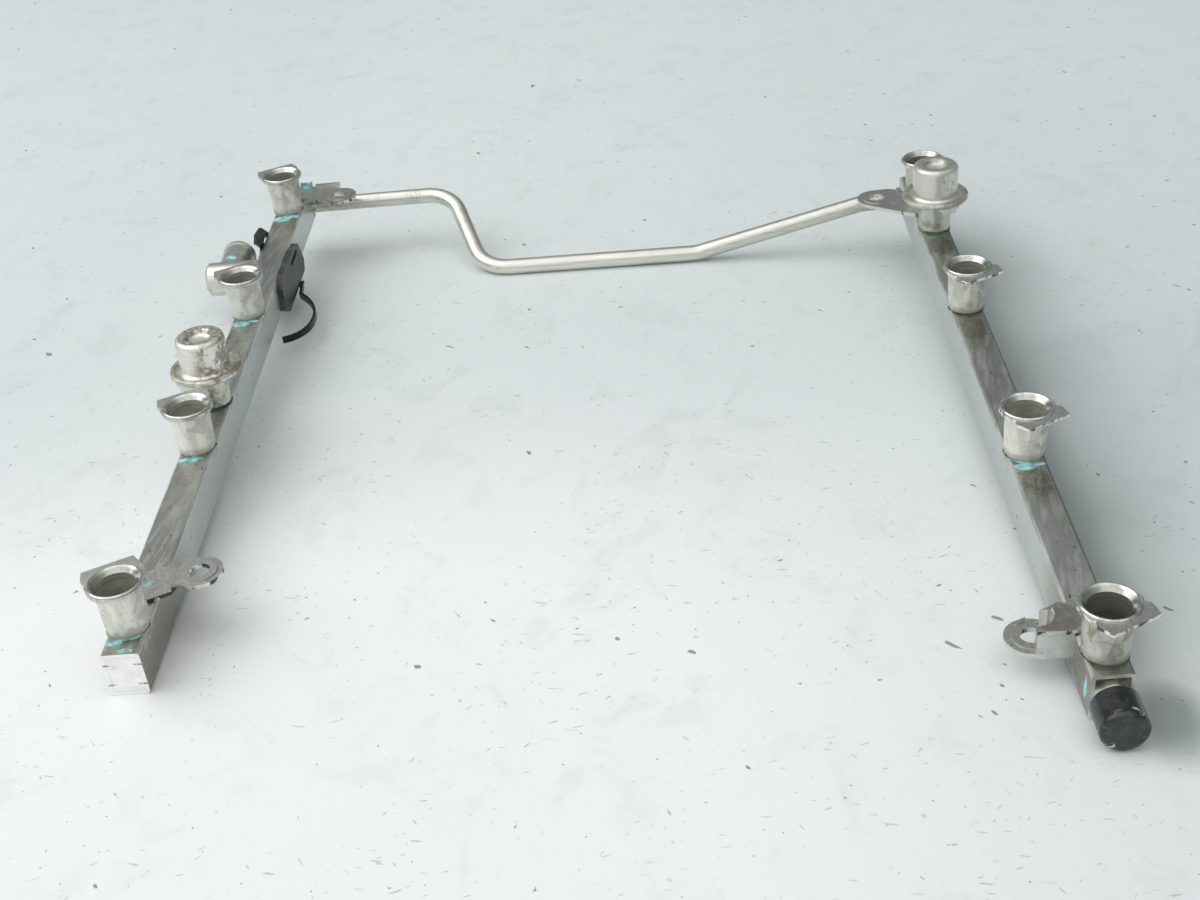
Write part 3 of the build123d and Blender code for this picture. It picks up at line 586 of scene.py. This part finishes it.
def tube_steel(look):
    """Drawn tube: fine lines along its runs, brown near the brazed ends, painted shade on its right-hand run.
    """
    finish = Finish("tube_steel")
    place = finish.place()
    grain = finish.cloud(place, (30.0, 1500.0, 1500.0), 3.0, 0.6)
    mottle = finish.cloud(place, 520.0, 4.0, 0.65)
    patches = finish.cloud(place, 55.0, 4.0, 0.6, 0.4)
    left_end = RAIL["left"][1].x
    right_end = RAIL["right"][0].x
    reach = right_end - left_end
    from_middle = finish.parts(place)[0] - (right_end + left_end) / 2
    ends = finish.step(abs(from_middle), 0.36 * reach, 0.5 * reach)
    base = finish.coats(
        look.cup_dull,
        (0.8 * finish.step(grain, 0.3, 0.7), look.cup_pale),
        (0.5 * finish.step(patches, 0.5, 0.66) * finish.step(mottle, 0.35, 0.6), look.steel_dark),
        (0.5 * ends * finish.step(mottle, 0.4, 0.6), look.heat_brown),
        # Painted shade: the right-hand run darkened, standing in for a darker reflection
        (0.22 * finish.step(from_middle, 0.1 * reach, 0.25 * reach), look.steel_dark),
    )
    rough = 0.24 + 0.12 * grain + 0.12 * mottle
    return finish.wear(base, rough, 0.5 * grain + 0.3 * mottle + 0.2 * patches, 0.05 * MM)


def port_steel(name, stained, marks, look):
    """Turned fitting: fine rings, satin, a little stained, with paint where it was dabbed."""
    finish = Finish(name)
    place = finish.place()
    mottle = finish.cloud(place, 540.0, 4.0, 0.65)
    patches = finish.cloud(place, 120.0, 4.0, 0.6, 0.4)
    rings = finish.cloud(place, (40.0, 1500.0, 40.0), 3.0, 0.6)
    base = finish.coats(
        look.cup_dull,
        (finish.step(rings, 0.3, 0.7), look.cup_pale),
        (stained * finish.step(patches, 0.48, 0.62) * finish.step(mottle, 0.36, 0.56), look.stain),
        (0.6 * stained, look.steel_dark),
    )
    rough = 0.24 + 0.14 * rings + 0.14 * mottle
    metal = 1.0
    if marks:
        base, rough, metal = painted(finish, dabs(finish, place, marks), look.paint, base, rough)
    return finish.wear(base, rough, 0.5 * rings + 0.4 * mottle, 0.05 * MM, metal)


def black_plastic(name, base_rough, shine, scuffs, shades, rubbed, look):
    """Moulded dark plastic, scuffed all over a little and much more where it was rubbed; on the cap, those
    rubbed places also carry a painted highlight along the front rim.
    """
    finish = Finish(name)
    place = finish.place()
    pebble = finish.cloud(place, 1300.0, 3.0, 0.6)
    wave = finish.cloud(place, 170.0, 3.0, 0.6)
    rubs = scratches(finish, place, 900.0, 260.0, 0.05, (50.0, -35.0, 5.0))
    dust = finish.step(finish.cloud(place, 500.0, 5.0, 0.75), 0.50, 0.72)
    base = finish.mix(finish.step(wave, 0.42, 0.66), *shades)
    base = finish.mix(0.3 * scuffs * rubs, base, look.scuff_and_highlight)
    # Rubbed places: scuffs, and on the cap also a painted highlight
    if rubbed:
        grazed = finish.step(finish.cloud(place, 700.0, 4.0, 0.7), 0.52, 0.60)
        base = finish.mix(dabs(finish, place, rubbed) * grazed, base, look.scuff_and_highlight)
    rough = base_rough + 0.10 * wave + 0.2 * rubs + 0.12 * dust
    finish.shader.inputs["Specular IOR Level"].default_value = shine
    return finish.wear(base, rough, 0.5 * pebble + 0.8 * wave, 0.12 * MM, 0.0)


def seal_rubber(look):
    """Matt black seal."""
    finish = Finish("seal_rubber")
    pores = finish.cloud(finish.place(), 1500.0, 3.0)
    base = finish.mix(pores, look.rubber, look.cap_black)
    return finish.wear(base, 0.62 + 0.1 * pores, pores, 0.05 * MM, 0.0)


def braze_metal(name, centre, sector, paint, look):
    """Braze run out round a joint: dull and lumpy, painted over one sector."""
    finish = Finish(name)
    place = finish.place()
    lumps = finish.cloud(place, 620.0, 4.0, 0.65)
    base = finish.mix(finish.step(lumps, 0.35, 0.65), look.braze_dark, look.braze_light)
    rough = 0.38 + 0.25 * lumps
    heading, half_spread = (math.radians(part) for part in sector)
    outward = finish.node("ShaderNodeVectorMath", {"operation": "NORMALIZE"},
                          {0: finish.measured(place, centre)})
    turned = finish.node("ShaderNodeVectorMath", {"operation": "DOT_PRODUCT"},
                         {0: outward, 1: (math.cos(heading), math.sin(heading), 0.0)}, out=1)
    edge = math.cos(half_spread)
    coat = finish.step(turned + 1.3 * (finish.cloud(place, 480.0, 3.0) - 0.5), edge - 0.04, edge + 0.08)
    base, rough, metal = painted(finish, coat, paint, base, rough)
    return finish.wear(base, rough, lumps, 0.25 * MM, metal)


def painted_floor_light(finish, place):
    """Painted light and shade on the floor: paler in front and on the left, dimmer to the back and right, with
    a painted shadow to the right of the right rail.
    """
    x, y = finish.parts(place)[:2]
    near = finish.step(y, 0.10, -0.20)
    right = finish.step(x, -0.06, 0.25)
    # Reach of a painted shadow to the right of the right rail
    dim = finish.ellipse(place, (0.245, -0.06, 0.0), (0.10, 0.20, 1.0))
    bright = near * (1.0 - 0.62 * right) + 0.25 * (1.0 - right)
    bright = bright + 0.20 * (finish.cloud(place, 5.0, 3.0) - 0.5)
    bright = bright + 0.12 * finish.step(y, 0.15, 0.5) * right - 0.5 * finish.step(dim, 1.0, 0.1)
    # Painted shade over the left of the floor, fading out towards the front
    bright = bright - 0.16 * finish.step(x, -0.10, -0.26) * finish.step(y, -0.16, 0.0)
    return (bright + 0.4).most(0.0) / 1.4


def floor_shade(finish, place):
    """Mask of the painted shade on the floor beside the rails and round the cap."""
    x, y = finish.parts(place)[:2]
    front, rear = RAIL["right"][0].y, RAIL["right"][1].y
    edge = RAIL["right"][1].x
    beside = finish.step(x, edge + 72.0 * MM, edge + 5.0 * MM)
    beside = beside * finish.step(x, edge - 7.0 * MM, edge + 7.0 * MM)
    beside = beside * (0.62 + 0.28 * finish.step(x, edge + 27.0 * MM, edge + 7.0 * MM))
    beside = beside * finish.step(y, front - 17.0 * MM, front + 63.0 * MM)
    beside = beside * finish.step(y, rear + 92.0 * MM, rear - 48.0 * MM)
    by_cap = finish.ellipse(place, Vector((edge, front, 0.0)) + mm(11.0, -1.2, 0.0), (0.019, 0.030, 1.0))
    front, rear = RAIL["left"][0].y, RAIL["left"][1].y
    edge = RAIL["left"][1].x
    inside = finish.step(x, edge + 47.5 * MM, edge + 7.5 * MM)
    inside = inside * finish.step(x, edge - 7.5 * MM, edge + 2.5 * MM)
    inside = inside * finish.step(y, front - 40.0 * MM, front + 40.0 * MM)
    inside = inside * finish.step(y, rear - 19.0 * MM, rear - 119.0 * MM)
    return beside.most(0.85 * finish.step(by_cap, 1.0, 0.2)).most(0.14 * inside)


def floor_sheet(look):
    """Pale studio floor with painted light and shade, faint stains, fine scratches and specks."""
    finish = Finish("floor_sheet")
    place = finish.place()
    stains = finish.step(finish.cloud(place, (46.0, 30.0, 46.0), 4.0, 0.6, 0.6), 0.50, 0.72)
    fibres = finish.cloud(place, 300.0, 4.0, 0.6)
    grit = finish.step(finish.cloud(place, 420.0, 2.0, 0.5), 0.735, 0.765)
    flecks = finish.cloud(finish.turned(place, 50.0), (260.0, 110.0, 200.0), 2.0, 0.5)
    chips = finish.cloud(finish.turned(place, -35.0), (210.0, 95.0, 170.0), 1.0, 0.5)
    specks = grit.most(finish.step(flecks, 0.765, 0.80)).most(finish.step(chips, 0.785, 0.800))
    soft_grit = finish.step(finish.cloud(place, 190.0, 3.0, 0.6), 0.68, 0.78)
    strokes = scratches(finish, place, 800.0, (110.0, 150.0), 0.020, (-78.0, 74.0))
    strokes = strokes.most(scratches(finish, place, 800.0, (190.0, 160.0), 0.008, (40.0, -30.0)))
    strokes = strokes * finish.step(finish.cloud(place, 24.0, 2.0), 0.42, 0.58)
    base = finish.coats(
        look.floor_shaded_and_fibres,
        # Painted light and shade, from the pale front-left to the dim back-right
        (painted_floor_light(finish, place), look.floor_lit),
        # Painted shade beside the rails and round the cap
        (floor_shade(finish, place), look.floor_mark_and_shade),
        (0.10 * stains, look.floor_mark_and_shade),
        (0.05 * fibres, look.floor_shaded_and_fibres),
        (0.22 * soft_grit, look.floor_mark_and_shade),
        (0.50 * strokes, look.floor_mark_and_shade),
        (0.70 * specks, look.floor_grit),
    )
    return finish.wear(base, 0.55 + 0.1 * fibres, fibres, 0.04 * MM, 0.0)


# Geometry of the added pieces

def piece(name, mesh_maker, material):
    """Turn a bmesh into a smooth piece that rides on the rail."""
    shape = bmesh.new()
    mesh_maker(shape)
    mesh = bpy.data.meshes.new(name)
    bmesh.ops.recalc_face_normals(shape, faces=shape.faces)
    shape.to_mesh(mesh)
    shape.free()
    for face in mesh.polygons:
        face.use_smooth = True
    made = bpy.data.objects.new(name, mesh)
    bpy.context.scene.collection.objects.link(made)
    made.data.materials.append(material)
    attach(made, "root")


def bead(shape, centre, radius, height, spread, seed):
    """Braze bead: a lumpy fillet, thick at the wall and thin where it runs out."""
    turns = 84
    profile = 9
    buried = 0.4 * MM
    rings = []
    for turn in range(turns):
        angle = 2.0 * math.pi * turn / turns
        outward = Vector((math.cos(angle), math.sin(angle), 0.0))
        swell = 1.0 + 0.55 * noise.noise(1.7 * outward + Vector((seed, 0.0, 0.0)))
        swell += 0.28 * noise.noise(5.5 * outward + Vector((0.0, seed, 0.0)))
        ring = []
        for index in range(profile):
            bend = 0.5 * math.pi * index / (profile - 1)
            out = spread * swell * (1.0 - math.cos(bend))
            up = height * swell * (1.0 - math.sin(bend))
            ring.append(shape.verts.new(centre + (radius + out) * outward + Vector((0.0, 0.0, up))))
        ring.append(shape.verts.new(centre + (radius - buried) * outward))
        rings.append(ring)
    for first, second in zip(rings, rings[1:] + rings[:1]):
        for index in range(len(first)):
            after = (index + 1) % len(first)
            shape.faces.new((first[index], first[after], second[after], second[index]))


# What a user can change

def tint(name, description, *shade):
    """A colour property, from its name, description, red, green and blue."""
    return bpy.props.FloatVectorProperty(
        name=name, description=description, subtype="COLOR", size=3, default=shade, min=0.0, max=1.0)


class FUELRAIL_PG_look(bpy.types.PropertyGroup):
    """Colours of the finishes."""

    # Also the painted reflection on the brackets' upright faces
    steel_light: tint("Light steel", "Clean rubbed steel", 0.73, 0.745, 0.71)
    steel_mid: tint("Steel", "Satin steel as drawn", 0.53, 0.545, 0.51)
    # Also painted shade on the cups' right-hand sides, the tube's right-hand run and the dampers' dishes
    steel_dark: tint("Dark steel", "Dull, oxidised steel", 0.36, 0.37, 0.335)
    # Painted reflection: the bright floor as the rails' upright faces show it
    side_painted_sheen: tint("Rail sides", "Pale satin of the rails' upright faces", 0.68, 0.73, 0.715)
    cup_pale: tint("Pale cup steel", "Bright drawn wall of cups, dampers and tube", 0.88, 0.88, 0.81)
    cup_dull: tint("Dull cup steel", "Duller streaks of the drawn walls", 0.67, 0.67, 0.60)
    # Also the painted highlight along the rails' top edges
    bright: tint("Bright steel", "Rolled lips, rubbed edges and fresh scratches", 0.95, 0.94, 0.92)
    plug_pale: tint("Pale plate", "Matt cut ends and end plugs", 0.97, 0.975, 0.95)
    # Also painted shade on the dampers' right-hand sides
    stain: tint("Stain", "Brown fuel and oil stains", 0.22, 0.19, 0.14)
    heat_brown: tint("Heat tint", "Steel browned by brazing", 0.34, 0.28, 0.20)
    bore_brown: tint("Bore", "Varnish inside the cups", 0.54, 0.54, 0.46)
    bore_dark: tint("Dark bore", "Ring marks and old varnish inside the cups", 0.15, 0.155, 0.13)
    bore_pale: tint("Pale bore", "Cleaner runs inside the cups", 0.70, 0.70, 0.62)
    # Also painted shade along the rails' bottom edges and under the left front bracket's plate edge
    fleck_and_edge_shade: tint("Fleck", "Dark pits and torn metal", 0.09, 0.08, 0.065)
    braze_light: tint("Light braze", "Braze on its crests", 0.52, 0.50, 0.44)
    braze_dark: tint("Dark braze", "Braze in its hollows", 0.13, 0.12, 0.09)
    paint: tint("Inspection paint", "Pale blue-green paint dabs", 0.40, 0.79, 0.79)
    paint_dark: tint("Thin paint", "Dark green paint sunk into the braze", 0.09, 0.20, 0.17)
    dot_yellow: tint("Damper dot", "Yellow dot on each damper", 0.85, 0.72, 0.18)
    rubber: tint("Rubber", "Seals", 0.010, 0.011, 0.012)
    cap_black: tint("Cap black", "Push-on cap and cable tie", 0.009, 0.012, 0.013)
    cap_worn: tint("Worn cap black", "Greyed zones of the cap and tie", 0.026, 0.033, 0.035)
    clip_grey: tint("Clip grey", "Harness clip", 0.032, 0.037, 0.038)
    clip_worn: tint("Worn clip grey", "Faded zones of the harness clip", 0.065, 0.074, 0.076)
    # Also the painted highlight at the cap's front rim
    scuff_and_highlight: tint("Scuff", "Pale scuffs on plastic", 0.55, 0.58, 0.58)
    # Painted light: the floor where it is painted lit
    floor_lit: tint("Floor, pale", "Floor in front", 0.94, 0.97, 0.97)
    # Painted shade: the floor where it is painted shaded; also the tone of its fibres
    floor_shaded_and_fibres: tint("Floor, dim", "Floor at the back and right", 0.59, 0.66, 0.665)
    floor_mark_and_shade: tint("Floor marks", "Fine scratches, stains and soft shade on the floor", 0.25, 0.29, 0.29)
    floor_grit: tint("Floor grit", "Specks of dirt on the floor", 0.10, 0.09, 0.08)


class FUELRAIL_PG_sizes(bpy.types.PropertyGroup):
    """Sizes of the added pieces and of the studio."""

    bead_height: bpy.props.FloatProperty(
        name="Bead height", description="How far braze climbs a wall", unit="LENGTH", default=0.6 * MM)
    bead_spread: bpy.props.FloatProperty(
        name="Bead spread", description="How far braze runs out on the tube", unit="LENGTH", default=1.1 * MM)
    floor_size: bpy.props.FloatProperty(
        name="Floor size", description="Side of the square floor", unit="LENGTH", default=24.0)
    key_size: bpy.props.FloatProperty(
        name="Key lamp size", description="Side of the main soft lamp", unit="LENGTH", default=1.5)
    key_power: bpy.props.FloatProperty(
        name="Key lamp power", description="Power of the main soft lamp", unit="POWER", default=9.0)
    sky_strength: bpy.props.FloatProperty(
        name="Sky strength", description="Brightness of the overhead soft light", default=1.6)
    camera_offset: bpy.props.FloatVectorProperty(
        name="Camera place", description="From the middle of the front cups, at the rails' base",
        subtype="TRANSLATION", size=3, default=(0.03297, -0.40252, 0.35092))
    camera_heading: bpy.props.FloatProperty(
        name="Camera heading", description="Turn about the vertical", subtype="ANGLE",
        default=math.radians(3.367))
    camera_tip: bpy.props.FloatProperty(
        name="Camera tip", description="Lean from straight down", subtype="ANGLE",
        default=math.radians(57.055))
    camera_roll: bpy.props.FloatProperty(
        name="Camera roll", description="Turn about the line of sight", subtype="ANGLE",
        default=math.radians(-6.16))
    camera_lens: bpy.props.FloatProperty(
        name="Lens", description="Focal length on a 36 mm frame, in millimetres", default=48.4)


# Operators: one for each piece or group of like pieces

class RailOperator:
    """What the operators share."""

    bl_options = {"REGISTER"}

    @staticmethod
    def dress(node, material):
        """Give a CAD node one material in each of its material slots."""
        for slot in frame["nodes"][node].material_slots:
            slot.material = material


class FUELRAIL_OT_rails(RailOperator, bpy.types.Operator):
    """Finish both rail tubes and their end plugs"""

    bl_idname = "fuelrail.rails"
    bl_label = "Rail tubes and plugs"

    def execute(self, context):
        look = context.scene.fuelrail_look
        for side in SIDES:
            self.dress(f"rail_tube_{side}", rail_steel(side, look))
        pale = plug_steel("plug_steel", look.plug_pale, 0.1, look)
        brown = plug_steel("plug_steel_browned", look.heat_brown, 0.8, look)
        for end in ("left_front", "left_rear", "right_rear"):
            self.dress(f"end_plug_{end}", pale)
        self.dress("end_plug_right_front", brown)
        return {"FINISHED"}


class FUELRAIL_OT_cups(RailOperator, bpy.types.Operator):
    """Finish the injector cups"""

    bl_idname = "fuelrail.cups"
    bl_label = "Injector cups"

    def execute(self, context):
        for cup in CUPS:
            self.dress(f"injector_cup_{cup}", cup_steel(cup, context.scene.fuelrail_look))
        return {"FINISHED"}


class FUELRAIL_OT_dampers(RailOperator, bpy.types.Operator):
    """Finish the dampers, their seats, seals and forks"""

    bl_idname = "fuelrail.dampers"
    bl_label = "Dampers"

    def execute(self, context):
        look = context.scene.fuelrail_look
        rubber = seal_rubber(look)
        fork = bracket_steel("fork_steel", None, [], [], [], look)
        for side in SIDES:
            self.dress(f"damper_{side}", damper_steel(side, look))
            self.dress(f"damper_seat_{side}", port_steel(f"seat_steel_{side}", 0.75, [], look))
            self.dress(f"damper_oring_{side}", rubber)
            self.dress(f"damper_fork_{side}", fork)
        return {"FINISHED"}


class FUELRAIL_OT_brackets(RailOperator, bpy.types.Operator):
    """Finish the four stamped brackets"""

    bl_idname = "fuelrail.brackets"
    bl_label = "Brackets"

    def execute(self, context):
        look = context.scene.fuelrail_look
        flat = (RAIL_TOP, RAIL_TOP + SHEET)
        right = RAIL["right"][1].x
        marks = {
            "left_front": [(CUP_AXES["left_1"] + mm(0.8, 21.3, 2.0), mm(2.3, 1.7, 1.5))],
            "left_rear": [(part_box("bracket_left_rear")[1] - mm(27.6, 0.7, 1.2), mm(3.4, 2.2, 2.4))],
            "right_front": [],
            "right_rear": [(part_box("bracket_right_rear")[1] - mm(2.0, 8.0, 0.5), mm(1.5, 1.5, 1.5))],
        }
        for corner, places in marks.items():
            hole = MOUNTS[f"bolt_hole_{corner}"]
            low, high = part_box(f"bracket_{corner}")
            edges = [(*flat, right, 0.20)]
            browned = []
            if corner == "left_front":
                # The plate's front edge is very dark: torn metal and painted shade under the plate
                edges = [(*flat, hole.x - 7.0 * MM, 0.95),
                         (RAIL_TOP + SHEET, high.z - BOSS_HEIGHT, right, 0.40)]
            if corner == "right_front":
                edges.append((low.z, low.z + SHEET, hole.x + 2.0 * MM, 0.2))
                browned = [(hole + mm(7.0, -3.0, 9.5), mm(8.5, 8.0, 3.0))]
            self.dress(f"bracket_{corner}", bracket_steel(
                f"bracket_steel_{corner}", hole, edges, places, browned, look))
        return {"FINISHED"}


class FUELRAIL_OT_plumbing(RailOperator, bpy.types.Operator):
    """Finish the crossover tube, the side port and the service nipple"""

    bl_idname = "fuelrail.plumbing"
    bl_label = "Crossover, port and nipple"

    def execute(self, context):
        look = context.scene.fuelrail_look
        self.dress("crossover_tube", tube_steel(look))
        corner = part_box("side_port_body")[1]
        marks = [(corner - mm(16.38, 15.55, 0.0), mm(3.4, 2.6, 2.0)),
                 (corner - mm(2.0, 17.55, 3.0), mm(2.6, 3.0, 3.0))]
        self.dress("side_port_body", port_steel("port_body_steel", 0.30, marks, look))
        self.dress("side_port_plug", port_steel("port_plug_steel", 0.05, [], look))
        self.dress("service_nipple", port_steel("nipple_steel", 0.45, [], look))
        return {"FINISHED"}


class FUELRAIL_OT_plastics(RailOperator, bpy.types.Operator):
    """Finish the push-on cap, the harness clip and the cable tie"""

    bl_idname = "fuelrail.plastics"
    bl_label = "Cap, clip and tie"

    def execute(self, context):
        look = context.scene.fuelrail_look
        black = (look.cap_black, look.cap_worn)
        grey = (look.clip_grey, look.clip_worn)
        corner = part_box("service_cap")[0]
        # Rubbed places at the cap's front rim: real scuffs and a painted highlight
        rubbed = [(corner + mm(10.01, 2.6, 13.8), mm(4.2, 2.4, 1.6)),
                  (corner + mm(3.85, 0.5, 3.2), mm(2.6, 1.2, 1.4))]
        self.dress("service_cap", black_plastic("cap_plastic", 0.17, 0.65, 0.3, black, rubbed, look))
        self.dress("harness_clip", black_plastic("clip_plastic", 0.34, 0.35, 0.3, grey, [], look))
        self.dress("cable_tie", black_plastic("tie_plastic", 0.26, 0.25, 0.2, black, [], look))
        return {"FINISHED"}


class FUELRAIL_OT_brazing(RailOperator, bpy.types.Operator):
    """Add the braze beads round the cups and the damper seats"""

    bl_idname = "fuelrail.brazing"
    bl_label = "Braze beads"

    @staticmethod
    def join(joint, axis, radius, seed, sector, paint, context):
        """One bead and its metal, named after the joint."""
        sizes = context.scene.fuelrail_sizes
        metal = braze_metal(f"braze_{joint}", axis, sector, paint, context.scene.fuelrail_look)
        piece(f"braze_bead_{joint}",
              lambda shape: bead(shape, axis, radius, sizes.bead_height, sizes.bead_spread, seed),
              metal)

    def execute(self, context):
        look = context.scene.fuelrail_look
        for index, cup in enumerate(CUPS):
            paint = look.paint if cup in PALE_SECTORS else look.paint_dark
            self.join(cup, CUP_AXES[cup], CUP_FOOT_RADIUS, 3.1 * index, PALE_SECTORS.get(cup, DARK_SECTOR),
                      paint, context)
        for index, side in enumerate(SIDES):
            self.join(f"damper_{side}", DAMPER_AXES[side], SEAT_FOOT_RADIUS, 11.0 + index, DAMPER_SECTOR,
                      look.paint_dark, context)
        return {"FINISHED"}


class FUELRAIL_OT_stage(RailOperator, bpy.types.Operator):
    """Lay the floor under the three places that the rail rests on, and set lamp, sky and camera"""

    bl_idname = "fuelrail.stage"
    bl_label = "Floor, light and camera"

    @staticmethod
    def lay_floor(scene):
        """Square floor through the front corners of both rails and the crossover's low run."""
        left_foot = RAIL["left"][0]
        right_foot = RAIL["right"][0]
        tube_behind_cup = 19.0 * MM
        back_foot = Vector((DATUM.x, CUP_AXES["right_4"].y + tube_behind_cup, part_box("crossover_tube")[0].z))
        upward = (right_foot - left_foot).cross(back_foot - left_foot).normalized()
        centre = Vector((DATUM.x, 0.0, 0.0))
        centre.z = (left_foot - centre).dot(upward) / upward.z
        lean = Vector((0.0, 0.0, 1.0)).rotation_difference(upward).to_matrix()
        half = scene.fuelrail_sizes.floor_size / 2
        mesh = bpy.data.meshes.new("studio_floor")
        corners = [centre + lean @ Vector((x, y, 0.0))
                   for x, y in ((-half, -half), (half, -half), (half, half), (-half, half))]
        mesh.from_pydata(corners, [], [(0, 1, 2, 3)])
        floor = bpy.data.objects.new("studio_floor", mesh)
        scene.collection.objects.link(floor)
        floor.data.materials.append(floor_sheet(scene.fuelrail_look))

    @staticmethod
    def hang_lamp(scene):
        """Square soft lamp on the left."""
        data = bpy.data.lights.new("key_lamp", "AREA")
        data.shape = "SQUARE"
        data.size = scene.fuelrail_sizes.key_size
        data.energy = scene.fuelrail_sizes.key_power
        lamp = bpy.data.objects.new("key_lamp", data)
        scene.collection.objects.link(lamp)
        lamp.location = KEY_PLACE
        lamp.rotation_euler = (Vector(KEY_AIM) - Vector(KEY_PLACE)).to_track_quat("-Z", "Y").to_euler()

    @staticmethod
    def light_sky(scene):
        """Soft studio light from above: a grey ramp round one axis."""
        world = bpy.data.worlds.new("studio_world")
        scene.world = world
        world.use_nodes = True
        tree = world.node_tree
        tree.nodes.clear()
        output = tree.nodes.new("ShaderNodeOutputWorld")
        background = tree.nodes.new("ShaderNodeBackground")
        background.inputs[1].default_value = scene.fuelrail_sizes.sky_strength
        toward = tree.nodes.new("ShaderNodeVectorMath")
        toward.operation = "DOT_PRODUCT"
        toward.inputs[1].default_value = Vector(SKY_AXIS).normalized()
        direction = tree.nodes.new("ShaderNodeTexCoord")
        ramp = tree.nodes.new("ShaderNodeValToRGB")
        elements = ramp.color_ramp.elements
        elements[0].color = SKY_LOWEST
        elements[1].color = SKY_HIGHEST
        for position, grey in SKY_GREYS:
            elements.new(position).color = (grey, grey, grey, 1.0)
        tree.links.new(direction.outputs["Generated"], toward.inputs[0])
        tree.links.new(toward.outputs["Value"], ramp.inputs[0])
        tree.links.new(ramp.outputs[0], background.inputs[0])
        tree.links.new(background.outputs[0], output.inputs[0])

    @staticmethod
    def set_camera(scene):
        """Camera in front of the part."""
        sizes = scene.fuelrail_sizes
        data = bpy.data.cameras.new("product_camera")
        data.sensor_width = 36.0
        data.lens = sizes.camera_lens
        data.clip_start = 0.01
        camera = bpy.data.objects.new("product_camera", data)
        scene.collection.objects.link(camera)
        camera.location = DATUM + Vector(sizes.camera_offset)
        turn = (Matrix.Rotation(sizes.camera_heading, 3, "Z")
                @ Matrix.Rotation(sizes.camera_tip, 3, "X")
                @ Matrix.Rotation(sizes.camera_roll, 3, "Z"))
        camera.rotation_euler = turn.to_euler()
        scene.camera = camera

    def execute(self, context):
        self.lay_floor(context.scene)
        self.hang_lamp(context.scene)
        self.light_sky(context.scene)
        self.set_camera(context.scene)
        context.scene.view_settings.view_transform = "Standard"
        return {"FINISHED"}


class FUELRAIL_PT_finishes(bpy.types.Panel):
    """Sidebar panel that lists the operators and their settings"""

    bl_idname = "FUELRAIL_PT_finishes"
    bl_label = "Fuel rail"
    bl_space_type = "VIEW_3D"
    bl_region_type = "UI"
    bl_category = "Fuel rail"

    def draw(self, context):
        for operator in OPERATORS:
            self.layout.operator(operator.bl_idname)
        for group in (context.scene.fuelrail_sizes, context.scene.fuelrail_look):
            box = self.layout.box()
            for name in group.bl_rna.properties.keys():
                if name not in ("rna_type", "name"):
                    box.prop(group, name)


OPERATORS = (
    FUELRAIL_OT_rails,
    FUELRAIL_OT_cups,
    FUELRAIL_OT_dampers,
    FUELRAIL_OT_brackets,
    FUELRAIL_OT_plumbing,
    FUELRAIL_OT_plastics,
    FUELRAIL_OT_brazing,
    FUELRAIL_OT_stage,
)
CLASSES = (FUELRAIL_PG_look, FUELRAIL_PG_sizes, *OPERATORS, FUELRAIL_PT_finishes)


def register():
    """Register the classes and hang the settings on the scene."""
    for entry in CLASSES:
        bpy.utils.register_class(entry)
    bpy.types.Scene.fuelrail_look = bpy.props.PointerProperty(type=FUELRAIL_PG_look)
    bpy.types.Scene.fuelrail_sizes = bpy.props.PointerProperty(type=FUELRAIL_PG_sizes)


def unregister():
    """Take the settings and the classes away."""
    del bpy.types.Scene.fuelrail_sizes
    del bpy.types.Scene.fuelrail_look
    for entry in reversed(CLASSES):
        bpy.utils.unregister_class(entry)


def main():
    """Run every operator in order."""
    register()
    for operator in OPERATORS:
        group, action = operator.bl_idname.split(".")
        getattr(getattr(bpy.ops, group), action)()


if __name__ == "__main__":
    main()
